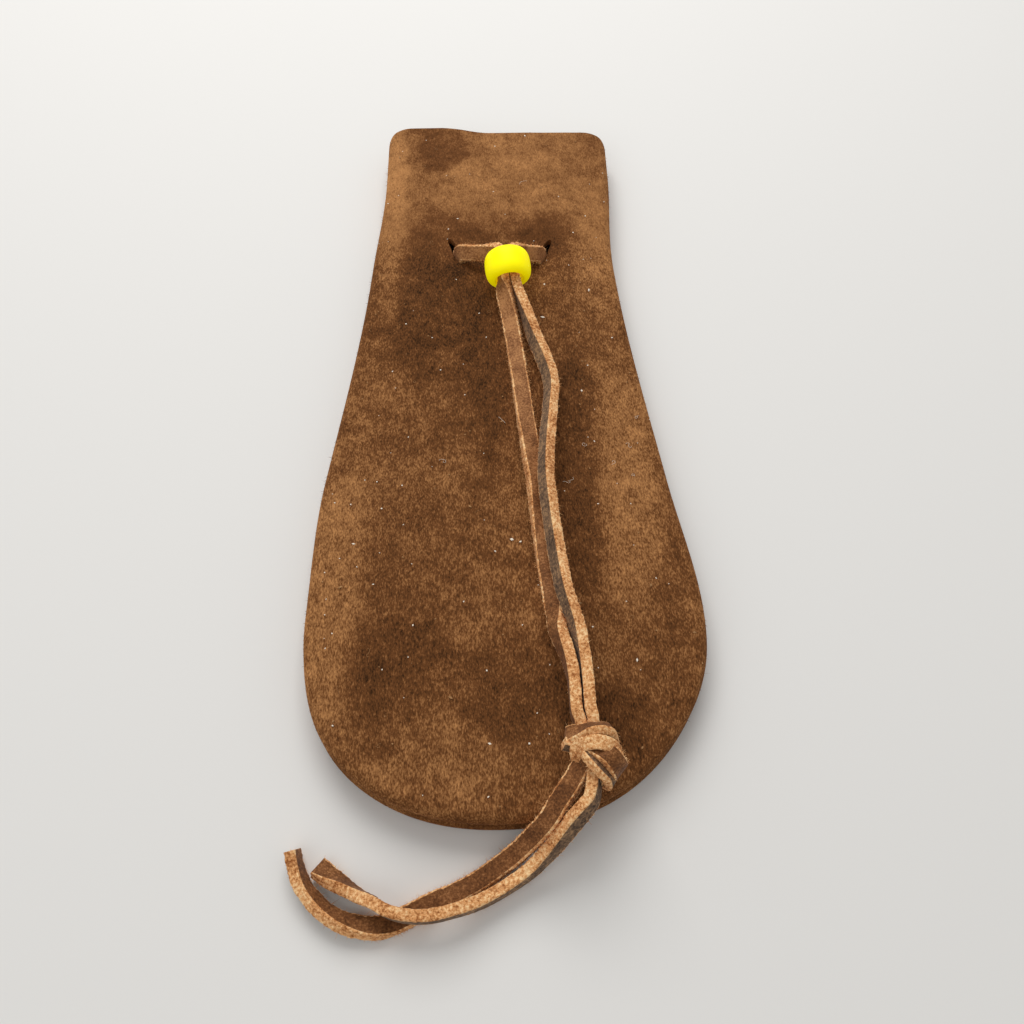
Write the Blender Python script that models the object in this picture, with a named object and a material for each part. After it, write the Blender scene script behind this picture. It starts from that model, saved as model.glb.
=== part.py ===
"""Beaded medicine bag: a turned suede pouch with a slotted neck, a leather lace and one bead.

Metres, +Z up. The bag lies on its back panel with its mouth towards +Y. The origin is on the
ground, under the middle of the bag. Both panels are cut to one outline and their seam allowance
is turned inside. The lace comes out of two slits in the front, runs through the bead as two
strands, is knotted, and ends in two tails beyond the round bottom.
"""
import math

import bmesh
import bpy
import numpy as np
from mathutils import Vector

MM = 0.001

# Outline of the bag
BAG_LENGTH = 0.153
MOUTH_WIDTH = 0.0482
BULGE_WIDTH = 0.0665
BULGE_HEIGHT = 0.0325       # widest place, above the bottom edge
FLARE_LENGTH = 0.098        # from the widest place up to the straight neck
FLARE_EASE = 0.82           # under 1, the sides turn in soon above the bulge
BOTTOM_FULLNESS = 2.2       # 2 is an ellipse, more is squarer
MOUTH_CORNER = 0.0042       # radius at the two ends of the mouth
MOUTH_DIP = 0.0019          # how far the mouth's middle is cut below its ends
MOUTH_DIP_REACH = 0.014
SIDE_SWAY = 0.0012          # the flare leans that far to the left of the mouth and the bulge
SIDE_SWAY_LOW = 0.034       # and does so between these two heights
SIDE_SWAY_HIGH = 0.137
SIDE_SWAY_EASE = 0.026
FOOT_SWAY = 0.0013          # the round bottom leans to the left too
FOOT_SWAY_HIGH = 0.028
FOOT_SWAY_EASE = 0.021

# Suede and its turned seam
LEATHER = 0.0014
SEAM_ALLOWANCE = 0.0048     # how far the turned edge reaches inside the fold
FOLD_GAP = 0.0005           # between a panel and its own turned edge
SEAM_GAP = 0.0003           # between the two turned edges
CROWN = 0.001               # how far the front stands over its edge
CROWN_REACH = 0.011
MOUTH_CROWN = 0.4           # the share of it that is left at the mouth
MOUTH_CROWN_REACH = 0.016

# Slits
SLIT_SPREAD = 0.0186
SLIT_FROM_MOUTH = 0.0388
SLIT_LENGTH = 0.0064

# Lace
LACE_WIDTH = 0.0031
LACE_THICKNESS = 0.0018
LACE_CORNER = 0.00035
CLEARANCE = 0.0003
BUMP_REACH = 0.0046         # how far the back panel takes to come down above and below the lace
BUMP_SIDE_REACH = 0.0022    # and past its two ends, at the slits
FRONT_DIP = 0.0005          # how far the front sinks under the lace between the slits

# Bead
BEAD_DIAMETER = 0.009
BEAD_LENGTH = 0.0058
BEAD_BORE = 0.0054
BEAD_LIP = 0.0064           # mouth of the bore, between the rounded rims
BEAD_FLARE = 0.0011         # depth of that mouth
BEAD_FULLNESS = 2.7
BEAD_X = 0.0017
BEAD_FROM_MOUTH = 0.048
BEAD_TURN = math.radians(6.5)

# Knot
KNOT_WIDTH = 0.0090
KNOT_HEIGHT = 0.0082
KNOT_LENGTH = 0.0116
KNOT_WRAPS = 3
KNOT_GROOVE = 0.10          # depth of the grooves between the turns, as a share of the radius
KNOT_FULLNESS = 3.2         # 2 is an egg, more is squarer
KNOT_X = 0.0126
KNOT_FROM_BOTTOM = 0.0089
KNOT_TURN = math.radians(11.5)
KNOT_BAND = 0.0026          # breadth of the turn that crosses the others aslant
KNOT_BAND_PROUD = 0.0002    # how far that turn stands over them
KNOT_BAND_SHIFT = 0.0019    # from the knot's middle towards the tails
KNOT_BAND_TURN = math.radians(-38)

# Facets
SIDE_ROWS = 15
BOTTOM_STEPS = 10
FOLD_STEPS = 6
ROUND_STEPS = 32
LACE_STEPS = 3
SLIT_STEPS = 16
BEAD_STEPS = 12
BEAD_FLARE_STEPS = 3
KNOT_ROWS = 16
KNOT_SIDES = 20
BAND_SIDES = 8
BAND_STEPS = 24

# What follows from these
FOLD_HEIGHT = 2 * LEATHER + FOLD_GAP
FOLD_RADIUS = FOLD_HEIGHT / 2
MID_HEIGHT = FOLD_HEIGHT + SEAM_GAP / 2
BAG_TOP = 2 * FOLD_HEIGHT + SEAM_GAP + CROWN
SLIT_Y = BAG_LENGTH - SLIT_FROM_MOUTH
SLIT_WIDTH = LACE_THICKNESS + 2 * CLEARANCE
BUMP_HEIGHT = LACE_THICKNESS + 2 * CLEARANCE
BUMP_HALF = LACE_WIDTH / 2 + CLEARANCE
PLATE_DEPTHS = [FOLD_RADIUS + CROWN_REACH * share for share in (1.4, 1.07, 0.84, 0.6, 0.36, 0.16)]

# Routes of the lace, in millimetres: x, y above the bag's bottom edge, z, then how the flat lace
# leans: 0 lies flat, 90 stands on edge, less than 90 leans its upper edge to the right or outward.
STRAND_LEFT = [
    (0.70, 104.6, 12.7, 90), (0.86, 102.4, 12.7, 76), (0.95, 100.8, 12.4, 54), (1.15, 99.2, 11.9, 36),
    (1.5, 97.0, 11.2, 24), (2.0, 93.8, 10.1, 14), (2.7, 88.0, 9.4, 8), (3.5, 80.3, 9.2, 0), (4.3, 72.0, 9.25, -5),
    (5.0, 64.6, 9.5, -15), (5.8, 57.0, 9.7, -22), (6.3, 50.1, 9.5, -12), (7.0, 42.0, 9.25, 0),
    (7.8, 35.5, 9.4, 10), (8.2, 31.7, 10.0, 36), (8.5, 28.5, 10.9, 62), (9.8, 23.5, 12.3, 80),
    (10.4, 19.5, 12.6, 89), (10.5, 15.1, 12.6, 90),
]
STRAND_RIGHT = [
    (2.80, 104.8, 12.7, 90), (3.30, 102.2, 12.7, 90), (4.05, 99.6, 12.4, 86), (5.1, 95.5, 11.5, 76),
    (6.5, 89.3, 10.6, 66), (8.2, 84.0, 10.3, 62), (9.3, 78.5, 10.3, 60), (8.7, 71.7, 10.9, 60),
    (7.9, 64.1, 11.9, 60), (7.5, 57.5, 12.4, 60), (7.9, 50.5, 12.2, 60), (8.6, 43.5, 11.9, 60),
    (9.5, 36.2, 12.5, 62), (10.4, 32.2, 12.8, 66), (11.4, 28.5, 12.8, 73), (12.1, 23.5, 12.7, 82),
    (12.5, 19.5, 12.7, 89), (12.6, 15.15, 12.7, 90),
]
TAIL_LEFT = [
    (9.2, 4.1, 10.9, 12), (7.4, 1.8, 10.1, 10), (5.9, -0.2, 9.0, 6), (4.2, -1.7, 6.9, 3),
    (1.5, -3.6, 4.0, 0), (-1.4, -5.4, 2.0, 0), (-5.3, -7.7, 1.1, 0), (-9.0, -9.4, 1.0, 0),
    (-11.8, -10.5, 1.0, 0), (-14.5, -11.8, 1.0, 0), (-17.4, -13.1, 1.05, 4), (-20.6, -13.6, 1.4, 22),
    (-24.3, -12.9, 1.85, 45), (-27.2, -11.3, 1.95, 55), (-29.5, -9.2, 1.95, 60),
    (-31.0, -7.2, 1.95, 68), (-32.1, -4.6, 2.1, 76), (-32.6, -2.6, 2.6, 80),
]
TAIL_RIGHT = [
    (13.1, 1.9, 11.6, 112), (11.6, 0.4, 10.9, 114), (9.9, -1.1, 9.2, 112), (8.0, -2.7, 7.1, 108),
    (5.6, -4.6, 4.8, 102), (2.7, -6.7, 3.1, 98), (-1.0, -8.8, 2.5, 94), (-4.6, -10.6, 2.9, 92),
    (-8.1, -11.8, 3.8, 90), (-11.5, -12.5, 4.0, 90), (-14.6, -12.5, 4.0, 90), (-17.6, -11.8, 4.0, 88),
    (-20.1, -10.4, 3.3, 84), (-22.6, -9.1, 2.0, 76), (-25.1, -7.6, 1.8, 60), (-27.1, -6.3, 1.5, 36),
    (-28.8, -5.0, 1.2, 12),
]
# The stretch through the slits: x, y, z and the way the lace's breadth points, left half first.
LOOP_LEFT = [
    (0.66, 104.9, 12.7, (0, 0, 1)), (0.42, 107.2, 12.7, (0, 0, 1)), (0.0, 108.75, 12.5, (0, 0.12, 1)),
    (-1.5, 109.8, 11.75, (0, 0.35, 0.94)), (-3.4, 110.65, 10.95, (0, 0.55, 0.83)),
    (-5.6, 111.5, 10.25, (0, 0.68, 0.73)), (-7.5, 112.6, 9.6, (0, 0.82, 0.57)),
    (-8.85, 113.3, 8.7, (0, 0.97, 0.25)), (-9.3, 113.6, 7.3, (0, 1, 0.05)), (-9.3, 113.6, 5.9, (0, 1, 0)),
    (-9.3, 114.0, 4.3, (0, 1, 0)), (-9.35, 114.2, 2.9, (0, 1, 0)), (-9.05, 114.2, 1.5, (0, 1, 0)),
    (-7.9, 114.2, 0.98, (0, 1, 0)), (-6.0, 114.2, 0.97, (0, 1, 0)), (0, 114.2, 0.97, (0, 1, 0)),
]
LOOP_RIGHT = [
    (6.0, 114.2, 0.97, (0, 1, 0)), (7.9, 114.2, 0.98, (0, 1, 0)), (9.05, 114.2, 1.5, (0, 1, 0)),
    (9.35, 114.2, 2.9, (0, 1, 0)), (9.3, 113.9, 4.3, (0, 1, 0)), (9.3, 113.5, 5.9, (0, 1, 0)),
    (9.25, 113.35, 7.3, (0, 1, 0.05)), (8.85, 112.9, 8.65, (0, 0.97, 0.25)), (7.7, 112.0, 9.6, (0, 0.82, 0.57)),
    (6.1, 110.9, 10.45, (0, 0.64, 0.77)), (4.35, 110.1, 11.5, (0, 0.38, 0.92)),
    (2.85, 109.1, 12.4, (0, 0.12, 1)), (2.5, 107.4, 12.7, (0, 0, 1)), (2.74, 105.15, 12.7, (0, 0, 1)),
]


def clear_scene():
    for item in list(bpy.data.objects):
        bpy.data.objects.remove(item, do_unlink=True)


def linear(hex_colour):
    """A colour written as sRGB hex, turned to the linear values that a shader takes."""
    parts = [int(hex_colour[i:i + 2], 16) / 255 for i in (1, 3, 5)]
    return [c / 12.92 if c <= 0.04045 else ((c + 0.055) / 1.055) ** 2.4 for c in parts] + [1.0]


def material(name, hex_colour, roughness):
    made = bpy.data.materials.new(name)
    made.use_nodes = True
    shader = made.node_tree.nodes["Principled BSDF"]
    shader.inputs["Base Color"].default_value = linear(hex_colour)
    shader.inputs["Roughness"].default_value = roughness
    shader.inputs["Metallic"].default_value = 0.0
    return made


def add_object(name, bm, surface, smooth_angle=40):
    """Close a bmesh into an object with its faces out and its round faces smooth."""
    bmesh.ops.recalc_face_normals(bm, faces=bm.faces)
    mesh = bpy.data.meshes.new(name)
    bm.to_mesh(mesh)
    bm.free()
    mesh.shade_smooth()
    mesh.set_sharp_from_angle(angle=math.radians(smooth_angle))
    made = bpy.data.objects.new(name, mesh)
    bpy.context.collection.objects.link(made)
    if surface is not None:
        mesh.materials.append(surface)
    return made


def hide_tool(tool):
    """A cutter or an added form, which only a Boolean uses."""
    tool.hide_render = True
    tool.display_type = "WIRE"


def boolean(target, tool, operation):
    step = target.modifiers.new(tool.name, "BOOLEAN")
    step.operation = operation
    step.solver = "EXACT"
    step.object = tool
    hide_tool(tool)


def smoothstep(value):
    share = min(max(value, 0.0), 1.0)
    return share * share * (3 - 2 * share)


def half_width(y):
    """Half the bag's width at a height above the widest place."""
    share = min(max((y - BULGE_HEIGHT) / FLARE_LENGTH, 0.0), 1.0)
    wave = 0.5 + 0.5 * math.cos(math.pi * share ** FLARE_EASE)
    return 0.5 * (MOUTH_WIDTH + (BULGE_WIDTH - MOUTH_WIDTH) * wave)


def sway(y):
    """How far the bag's middle line lies to the right at a height, since it was cut by hand."""
    rise = smoothstep((y - SIDE_SWAY_LOW) / SIDE_SWAY_EASE)
    fall = smoothstep((SIDE_SWAY_HIGH - y) / SIDE_SWAY_EASE)
    return -SIDE_SWAY * rise * fall - FOOT_SWAY * smoothstep((FOOT_SWAY_HIGH - y) / FOOT_SWAY_EASE)


def side_rows():
    """Heights of the sections from the mouth down to the bulge, closer where the lace crosses."""
    reach = BUMP_HALF + BUMP_REACH
    near = [SLIT_Y + side * step for side in (-1, 1) for step in (BUMP_HALF, BUMP_HALF + BUMP_REACH / 2, reach)]
    even = np.linspace(BULGE_HEIGHT, BAG_LENGTH, SIDE_ROWS)
    kept = [float(y) for y in even if abs(y - SLIT_Y) > reach + LEATHER / 2]
    return sorted(near + kept, reverse=True)


def half_outline():
    """Points and inward directions of the right half, from the mouth to the bottom's middle."""
    probe = 0.01 * MM
    stations = []
    for y in side_rows():
        slope = (half_width(y + probe) - half_width(y - probe)) / (2 * probe)
        inward = Vector((-1.0, slope)).normalized()
        stations.append((Vector((half_width(y), y)), inward))
    power = 2 / BOTTOM_FULLNESS
    for step in range(1, BOTTOM_STEPS + 1):
        angle = 0.5 * math.pi * step / BOTTOM_STEPS
        c, s = max(math.cos(angle), 0.0), math.sin(angle)
        if step == BOTTOM_STEPS:
            c = 0.0
        point = Vector((0.5 * BULGE_WIDTH * c ** power, BULGE_HEIGHT * (1 - s ** power)))
        steep = c ** (power * (BOTTOM_FULLNESS - 1)) / (0.5 * BULGE_WIDTH)
        level = s ** (power * (BOTTOM_FULLNESS - 1)) / BULGE_HEIGHT
        stations.append((point, Vector((-steep, level)).normalized()))
    return stations


def outline():
    """The whole open outline, from the left end of the mouth round the bottom to the right end."""
    right = half_outline()
    left = [(Vector((-p.x, p.y)), Vector((-n.x, n.y))) for p, n in right]
    return left + right[-2::-1]


def fold_section():
    """The folded panel's section as pairs of depth and height, outer line and inner line.

    Depth runs inward from the bag's edge. Height is 0 where the turned edge meets the other
    panel's, and FOLD_HEIGHT on the outside of the bag.
    """
    inner_radius = FOLD_RADIUS - LEATHER
    outer = [(depth, FOLD_HEIGHT) for depth in PLATE_DEPTHS]
    inner = [(depth, FOLD_HEIGHT - LEATHER) for depth in PLATE_DEPTHS]
    for step in range(FOLD_STEPS + 1):
        angle = math.pi * step / FOLD_STEPS
        for line, radius in ((outer, FOLD_RADIUS), (inner, inner_radius)):
            line.append((FOLD_RADIUS - radius * math.sin(angle), FOLD_RADIUS + radius * math.cos(angle)))
    outer.append((SEAM_ALLOWANCE + FOLD_RADIUS, 0.0))
    inner.append((SEAM_ALLOWANCE + FOLD_RADIUS, LEATHER))
    return outer, inner


def mouth_drop(depth):
    """How much shorter the panel is at its mouth, at the rounded ends and along the hollow edge."""
    left = max(MOUTH_CORNER - depth, 0.0)
    corner = MOUTH_CORNER - math.sqrt(MOUTH_CORNER ** 2 - left ** 2)
    return corner + MOUTH_DIP * smoothstep((depth - MOUTH_CORNER) / MOUTH_DIP_REACH)


def near_lace(x, y):
    """1 where the lace crosses from slit to slit, easing to 0 around it."""
    across = smoothstep(1 - (abs(y - SLIT_Y) - BUMP_HALF) / BUMP_REACH)
    ends = (SLIT_SPREAD + SLIT_WIDTH) / 2 + CLEARANCE
    return across * smoothstep(1 - (abs(x) - ends) / BUMP_SIDE_REACH)


def front_height(x, y, depth, height):
    """The front swells over its edge, less so at the mouth, and sinks a little under the lace."""
    if height < FOLD_RADIUS:
        return MID_HEIGHT + SEAM_GAP / 2 + height
    flatter = (1 - MOUTH_CROWN) * smoothstep(1 - (BAG_LENGTH - y) / MOUTH_CROWN_REACH)
    swell = CROWN * smoothstep((depth - FOLD_RADIUS) / CROWN_REACH) * (1 - flatter)
    return MID_HEIGHT + SEAM_GAP / 2 + height + swell - FRONT_DIP * near_lace(x, y)


def back_height(x, y, depth, height):
    """The back lies on the ground, and rides over the lace where that crosses from slit to slit."""
    if height < FOLD_RADIUS:
        return FOLD_HEIGHT - height
    return FOLD_HEIGHT - height + BUMP_HEIGHT * near_lace(x, y)


def slit_cutter(name):
    """Two upright slots with round ends, where the lace goes through."""
    bm = bmesh.new()
    radius = SLIT_WIDTH / 2
    straight = SLIT_LENGTH / 2 - radius
    for side in (-1, 1):
        ring = []
        for step in range(SLIT_STEPS):
            angle = 2 * math.pi * (step + 0.5) / SLIT_STEPS
            end = straight if math.sin(angle) > 0 else -straight
            x = side * SLIT_SPREAD / 2 + radius * math.cos(angle)
            ring.append((x, SLIT_Y - BAG_LENGTH / 2 + end + radius * math.sin(angle)))
        low = [bm.verts.new((x, y, -BAG_TOP)) for x, y in ring]
        high = [bm.verts.new((x, y, 2 * BAG_TOP)) for x, y in ring]
        bm.faces.new(low)
        bm.faces.new(high)
        for i in range(SLIT_STEPS):
            j = (i + 1) % SLIT_STEPS
            bm.faces.new((low[i], low[j], high[j], high[i]))
    return add_object(name, bm, None)


def panel(name, height_of, surface):
    """One suede panel as a closed sheet: outer skin, inner skin, turned edge and mouth edge."""
    stations = outline()
    bm = bmesh.new()
    skins = []
    for line in fold_section():
        middle = {}
        rows = []
        for index, (point, inward) in enumerate(stations):
            at_mouth = index in (0, len(stations) - 1)
            spine_y = point.y - inward.y * point.x / inward.x if point.y > BULGE_HEIGHT else BULGE_HEIGHT
            key = round(max(spine_y, BULGE_HEIGHT), 7)
            if key not in middle:
                z = height_of(0.0, key, PLATE_DEPTHS[0] + CROWN_REACH, line[0][1])
                y = key - (mouth_drop(PLATE_DEPTHS[0] + CROWN_REACH) if at_mouth else 0.0)
                middle[key] = bm.verts.new((sway(key), y - BAG_LENGTH / 2, z))
            row = [middle[key]]
            for depth, height in line:
                place = point + inward * depth
                x = place.x + sway(place.y)
                y = place.y - (mouth_drop(depth) if at_mouth else 0.0)
                row.append(bm.verts.new((x, y - BAG_LENGTH / 2, height_of(x, place.y, depth, height))))
            rows.append(row)
        skins.append(rows)
        for near, far in zip(rows, rows[1:]):
            for k in range(len(near) - 1):
                corners = [near[k], far[k], far[k + 1], near[k + 1]]
                bm.faces.new(list(dict.fromkeys(corners)))
    outer, inner = skins
    for i in range(len(stations) - 1):
        bm.faces.new((outer[i][-1], outer[i + 1][-1], inner[i + 1][-1], inner[i][-1]))
    for end in (0, -1):
        for k in range(len(outer[0]) - 1):
            bm.faces.new((outer[end][k], outer[end][k + 1], inner[end][k + 1], inner[end][k]))
    made = add_object(name, bm, surface, smooth_angle=50)
    boolean(made, slit_cutter(name + "_slits"), "DIFFERENCE")
    return made


def smooth_route(points):
    """Rows of numbers read from a smooth curve through every row of points."""
    rows = np.array(points, dtype=float)
    ends = np.vstack((2 * rows[0] - rows[1], rows, 2 * rows[-1] - rows[-2]))
    found = []
    for i in range(len(rows) - 1):
        a, b, c, d = ends[i:i + 4]
        for step in range(LACE_STEPS):
            t = step / LACE_STEPS
            found.append(0.5 * (2 * b + (c - a) * t + (2 * a - 5 * b + 4 * c - d) * t ** 2
                                + (3 * b - a - 3 * c + d) * t ** 3))
    found.append(rows[-1])
    return np.array(found)


def lace_section():
    """The lace's section, a flat strip with its four corners taken off."""
    u, v, c = LACE_WIDTH / 2, LACE_THICKNESS / 2, LACE_CORNER
    return [(u, v - c), (u - c, v), (c - u, v), (-u, v - c), (-u, c - v), (c - u, -v), (u - c, -v), (u, c - v)]


def lace(name, centres, breadths, surface):
    """A flat lace along a line of centres. breadths gives the way its width points at each."""
    bm = bmesh.new()
    rings = []
    for i, centre in enumerate(centres):
        before, after = centres[max(i - 1, 0)], centres[min(i + 1, len(centres) - 1)]
        along = Vector(after - before).normalized()
        wide = Vector(breadths[i])
        wide = (wide - along * wide.dot(along)).normalized()
        thick = along.cross(wide)
        rings.append([bm.verts.new(Vector(centre) + wide * u + thick * v) for u, v in lace_section()])
    for near, far in zip(rings, rings[1:]):
        for k in range(len(near)):
            j = (k + 1) % len(near)
            bm.faces.new((near[k], near[j], far[j], far[k]))
    bm.faces.new(rings[0])
    bm.faces.new(rings[-1])
    return add_object(name, bm, surface, smooth_angle=50)


def in_metres(rows):
    """The first three columns of a route, moved from the bottom edge to the bag's own frame."""
    return rows[:, :3] * MM - np.array([0.0, BAG_LENGTH / 2, 0.0])


def leaning_lace(name, route, surface):
    rows = smooth_route(route)
    centres = in_metres(rows)
    breadths = []
    for i in range(len(rows)):
        before, after = centres[max(i - 1, 0)], centres[min(i + 1, len(rows) - 1)]
        heading = Vector(((after - before)[0], (after - before)[1])).normalized()
        lean = math.radians(rows[i][3])
        side = Vector((-heading.y, heading.x, 0.0))
        breadths.append(side * math.cos(lean) + Vector((0.0, 0.0, math.sin(lean))))
    return lace(name, centres, breadths, surface)


def looping_lace(name, route, surface):
    rows = smooth_route([(x, y, z, *breadth) for x, y, z, breadth in route])
    return lace(name, in_metres(rows), rows[:, 3:], surface)


def turned(name, profile, surface, steps=ROUND_STEPS):
    """A closed ring turned about Z from a loop of radius and height pairs."""
    bm = bmesh.new()
    rings = []
    for step in range(steps):
        angle = 2 * math.pi * step / steps
        c, s = math.cos(angle), math.sin(angle)
        rings.append([bm.verts.new((r * c, r * s, z)) for r, z in profile])
    for i in range(steps):
        near, far = rings[i], rings[(i + 1) % steps]
        for k in range(len(profile)):
            j = (k + 1) % len(profile)
            bm.faces.new((near[k], far[k], far[j], near[j]))
    return add_object(name, bm, surface)


def bead(surface):
    """A barrel bead with rounded rims and a wide bore that opens out at both ends."""
    half, power = BEAD_LENGTH / 2, 2 / BEAD_FULLNESS
    lip, rim = BEAD_LIP / 2, (BEAD_DIAMETER - BEAD_LIP) / 2
    profile = []
    for step in range(BEAD_STEPS + 1):
        angle = math.pi * (step / BEAD_STEPS - 0.5)
        reach = math.copysign(abs(math.sin(angle)) ** power, math.sin(angle))
        out = rim * abs(math.cos(angle)) ** power if 0 < step < BEAD_STEPS else 0.0
        profile.append((lip + out, half * reach))
    flare = []
    for step in range(1, BEAD_FLARE_STEPS + 1):
        angle = 0.5 * math.pi * step / BEAD_FLARE_STEPS
        flare.append((lip - (lip - BEAD_BORE / 2) * math.sin(angle), half - BEAD_FLARE * (1 - math.cos(angle))))
    profile += flare
    profile += [(radius, -z) for radius, z in reversed(flare)]
    made = turned("bead", profile, surface)
    made.location = (BEAD_X, BAG_LENGTH / 2 - BEAD_FROM_MOUTH, BAG_TOP + CLEARANCE + BEAD_DIAMETER / 2)
    made.rotation_euler = (math.radians(90), 0, BEAD_TURN)
    return made


def knot(surface):
    """An overhand knot of both strands: three turns side by side and one that crosses them."""
    bm = bmesh.new()
    rings = []
    for step in range(1, KNOT_ROWS):
        share = -math.cos(math.pi * step / KNOT_ROWS)
        form = (1 - abs(share) ** KNOT_FULLNESS) ** (1 / KNOT_FULLNESS)
        wave = 0.5 + 0.5 * math.cos(math.pi * KNOT_WRAPS * (share + 1))
        groove = 1 - KNOT_GROOVE * wave * (1 - share ** 4)
        ring = []
        for turn in range(KNOT_SIDES):
            angle = 2 * math.pi * turn / KNOT_SIDES
            across = 0.5 * KNOT_WIDTH * form * groove * math.cos(angle)
            up = 0.5 * KNOT_HEIGHT * form * groove * math.sin(angle)
            ring.append(bm.verts.new((across, 0.5 * KNOT_LENGTH * share, up)))
        rings.append(ring)
    for near, far in zip(rings, rings[1:]):
        for k in range(KNOT_SIDES):
            j = (k + 1) % KNOT_SIDES
            bm.faces.new((near[k], near[j], far[j], far[k]))
    bm.faces.new(rings[0])
    bm.faces.new(rings[-1])
    made = add_object("knot", bm, surface)
    made.location = (KNOT_X, KNOT_FROM_BOTTOM - BAG_LENGTH / 2, BAG_TOP + CLEARANCE + KNOT_HEIGHT / 2)
    made.rotation_euler = (0, 0, KNOT_TURN)
    middle = KNOT_WIDTH / 2 + KNOT_BAND_PROUD - LACE_THICKNESS / 2
    band = []
    for side in range(BAND_SIDES):
        angle = 2 * math.pi * side / BAND_SIDES
        band.append((middle + 0.5 * LACE_THICKNESS * math.cos(angle), 0.5 * KNOT_BAND * math.sin(angle)))
    crossing = turned("knot_crossing_turn", band, surface, steps=BAND_STEPS)
    crossing.parent = made
    crossing.location = (0, -KNOT_BAND_SHIFT, 0)
    crossing.rotation_euler = (math.radians(90), 0, KNOT_BAND_TURN)
    crossing.scale = (1.0, KNOT_HEIGHT / KNOT_WIDTH, 1.0)
    boolean(made, crossing, "UNION")
    return made


def build():
    clear_scene()
    suede = material("dark_brown_suede", "#5E3C22", 0.95)
    suede_back = material("dark_brown_suede_back", "#5A3A22", 0.95)
    lace_leather = material("brown_suede_lace", "#7A5238", 0.85)
    bead_plastic = material("opaque_yellow_plastic", "#F2F200", 0.4)
    panel("front_panel", front_height, suede)
    panel("back_panel", back_height, suede_back)
    looping_lace("lace_loop", LOOP_LEFT + LOOP_RIGHT, lace_leather)
    leaning_lace("lace_strand_left", STRAND_LEFT, lace_leather)
    leaning_lace("lace_strand_right", STRAND_RIGHT, lace_leather)
    leaning_lace("lace_tail_left", TAIL_LEFT, lace_leather)
    leaning_lace("lace_tail_right", TAIL_RIGHT, lace_leather)
    knot(lace_leather)
    bead(bead_plastic)


build()
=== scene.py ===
"""Looks of the beaded medicine bag: napped suede, a cut leather lace, a moulded bead and lint.

Everything is in metres in the part's frame: the bag lies on its back panel, its mouth is towards
+Y and its middle is on the origin. Sizes that the frame gives are read from it, and the routes of
the lace are the part's own.
"""
import math
import random

import bmesh
import bpy
import numpy as np
from bpy.props import FloatProperty, IntProperty, PointerProperty
from mathutils import Matrix, Vector, noise
from mathutils.bvhtree import BVHTree


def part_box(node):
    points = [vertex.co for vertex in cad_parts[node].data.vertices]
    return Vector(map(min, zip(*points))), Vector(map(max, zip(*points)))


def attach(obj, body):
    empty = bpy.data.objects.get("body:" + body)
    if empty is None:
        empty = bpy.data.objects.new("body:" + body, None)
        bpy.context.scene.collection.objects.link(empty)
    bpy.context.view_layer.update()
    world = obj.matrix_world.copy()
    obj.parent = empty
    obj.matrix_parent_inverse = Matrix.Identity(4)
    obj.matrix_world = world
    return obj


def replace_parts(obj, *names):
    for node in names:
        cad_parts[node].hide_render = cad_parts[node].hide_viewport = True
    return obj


bl_info = {
    "name": "Beaded medicine bag",
    "version": (1, 0, 0),
    "blender": (4, 5, 0),
    "location": "3D View > Sidebar > Medicine bag",
    "description": "Builds a suede medicine bag with a leather lace and a bead",
    "category": "Object",
}

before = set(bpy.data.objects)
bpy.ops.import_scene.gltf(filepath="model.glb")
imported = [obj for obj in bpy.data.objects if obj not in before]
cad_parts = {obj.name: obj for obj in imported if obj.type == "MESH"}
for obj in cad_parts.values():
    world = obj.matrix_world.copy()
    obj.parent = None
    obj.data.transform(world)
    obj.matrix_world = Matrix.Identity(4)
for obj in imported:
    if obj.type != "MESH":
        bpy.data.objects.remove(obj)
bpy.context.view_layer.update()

MM = 0.001
LACE_CLEARANCE = 0.3 * MM       # between the lace and what it passes
SEAM_GAP = 0.0003               # between the two folded edges
LOWEST = 0.02 * MM              # the lace's points stay this far over the ground
FRONT_DIP = 0.5 * MM            # how far the front sinks under the lace between the slits
FRONT_WAVE = 0.15 * MM          # the most that the undulation lifts the front
BUMP_REACH = 4.6 * MM           # how far the panels take to come down above and below the lace
BUMP_SIDE_REACH = 2.2 * MM      # and past its two ends, at the slits
BACK_REACH = 8 * MM             # how far in from the edge the back has its whole sag
BACK_SAG = 0.5                  # the back's share of the undulation
CUT_FROM, CUT_TO = -0.01, 0.03  # heights between which the slits are cut
LOOK_DOWN_FROM = 0.05           # height from which the bag's upper side is looked for

ROUTE_PARTS = 8                 # sections between two points of a route
EDGE_PARTS, FACE_PARTS, CORNER_PARTS = 4, 7, 3  # how the sides and corners of the lace are split
PLATE_ROWS, FOLD_ROWS, ALLOWANCE_ROWS = 34, 12, 3
PLATE_EASE = 1.25               # over 1, the plate's rows are closer at its edge
PANEL_SPACING = 1.0 * MM        # distance of a panel's sections along its outline
BEAD_STEPS, BEAD_FLARE_STEPS, BEAD_TURNS = 48, 12, 96

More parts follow.
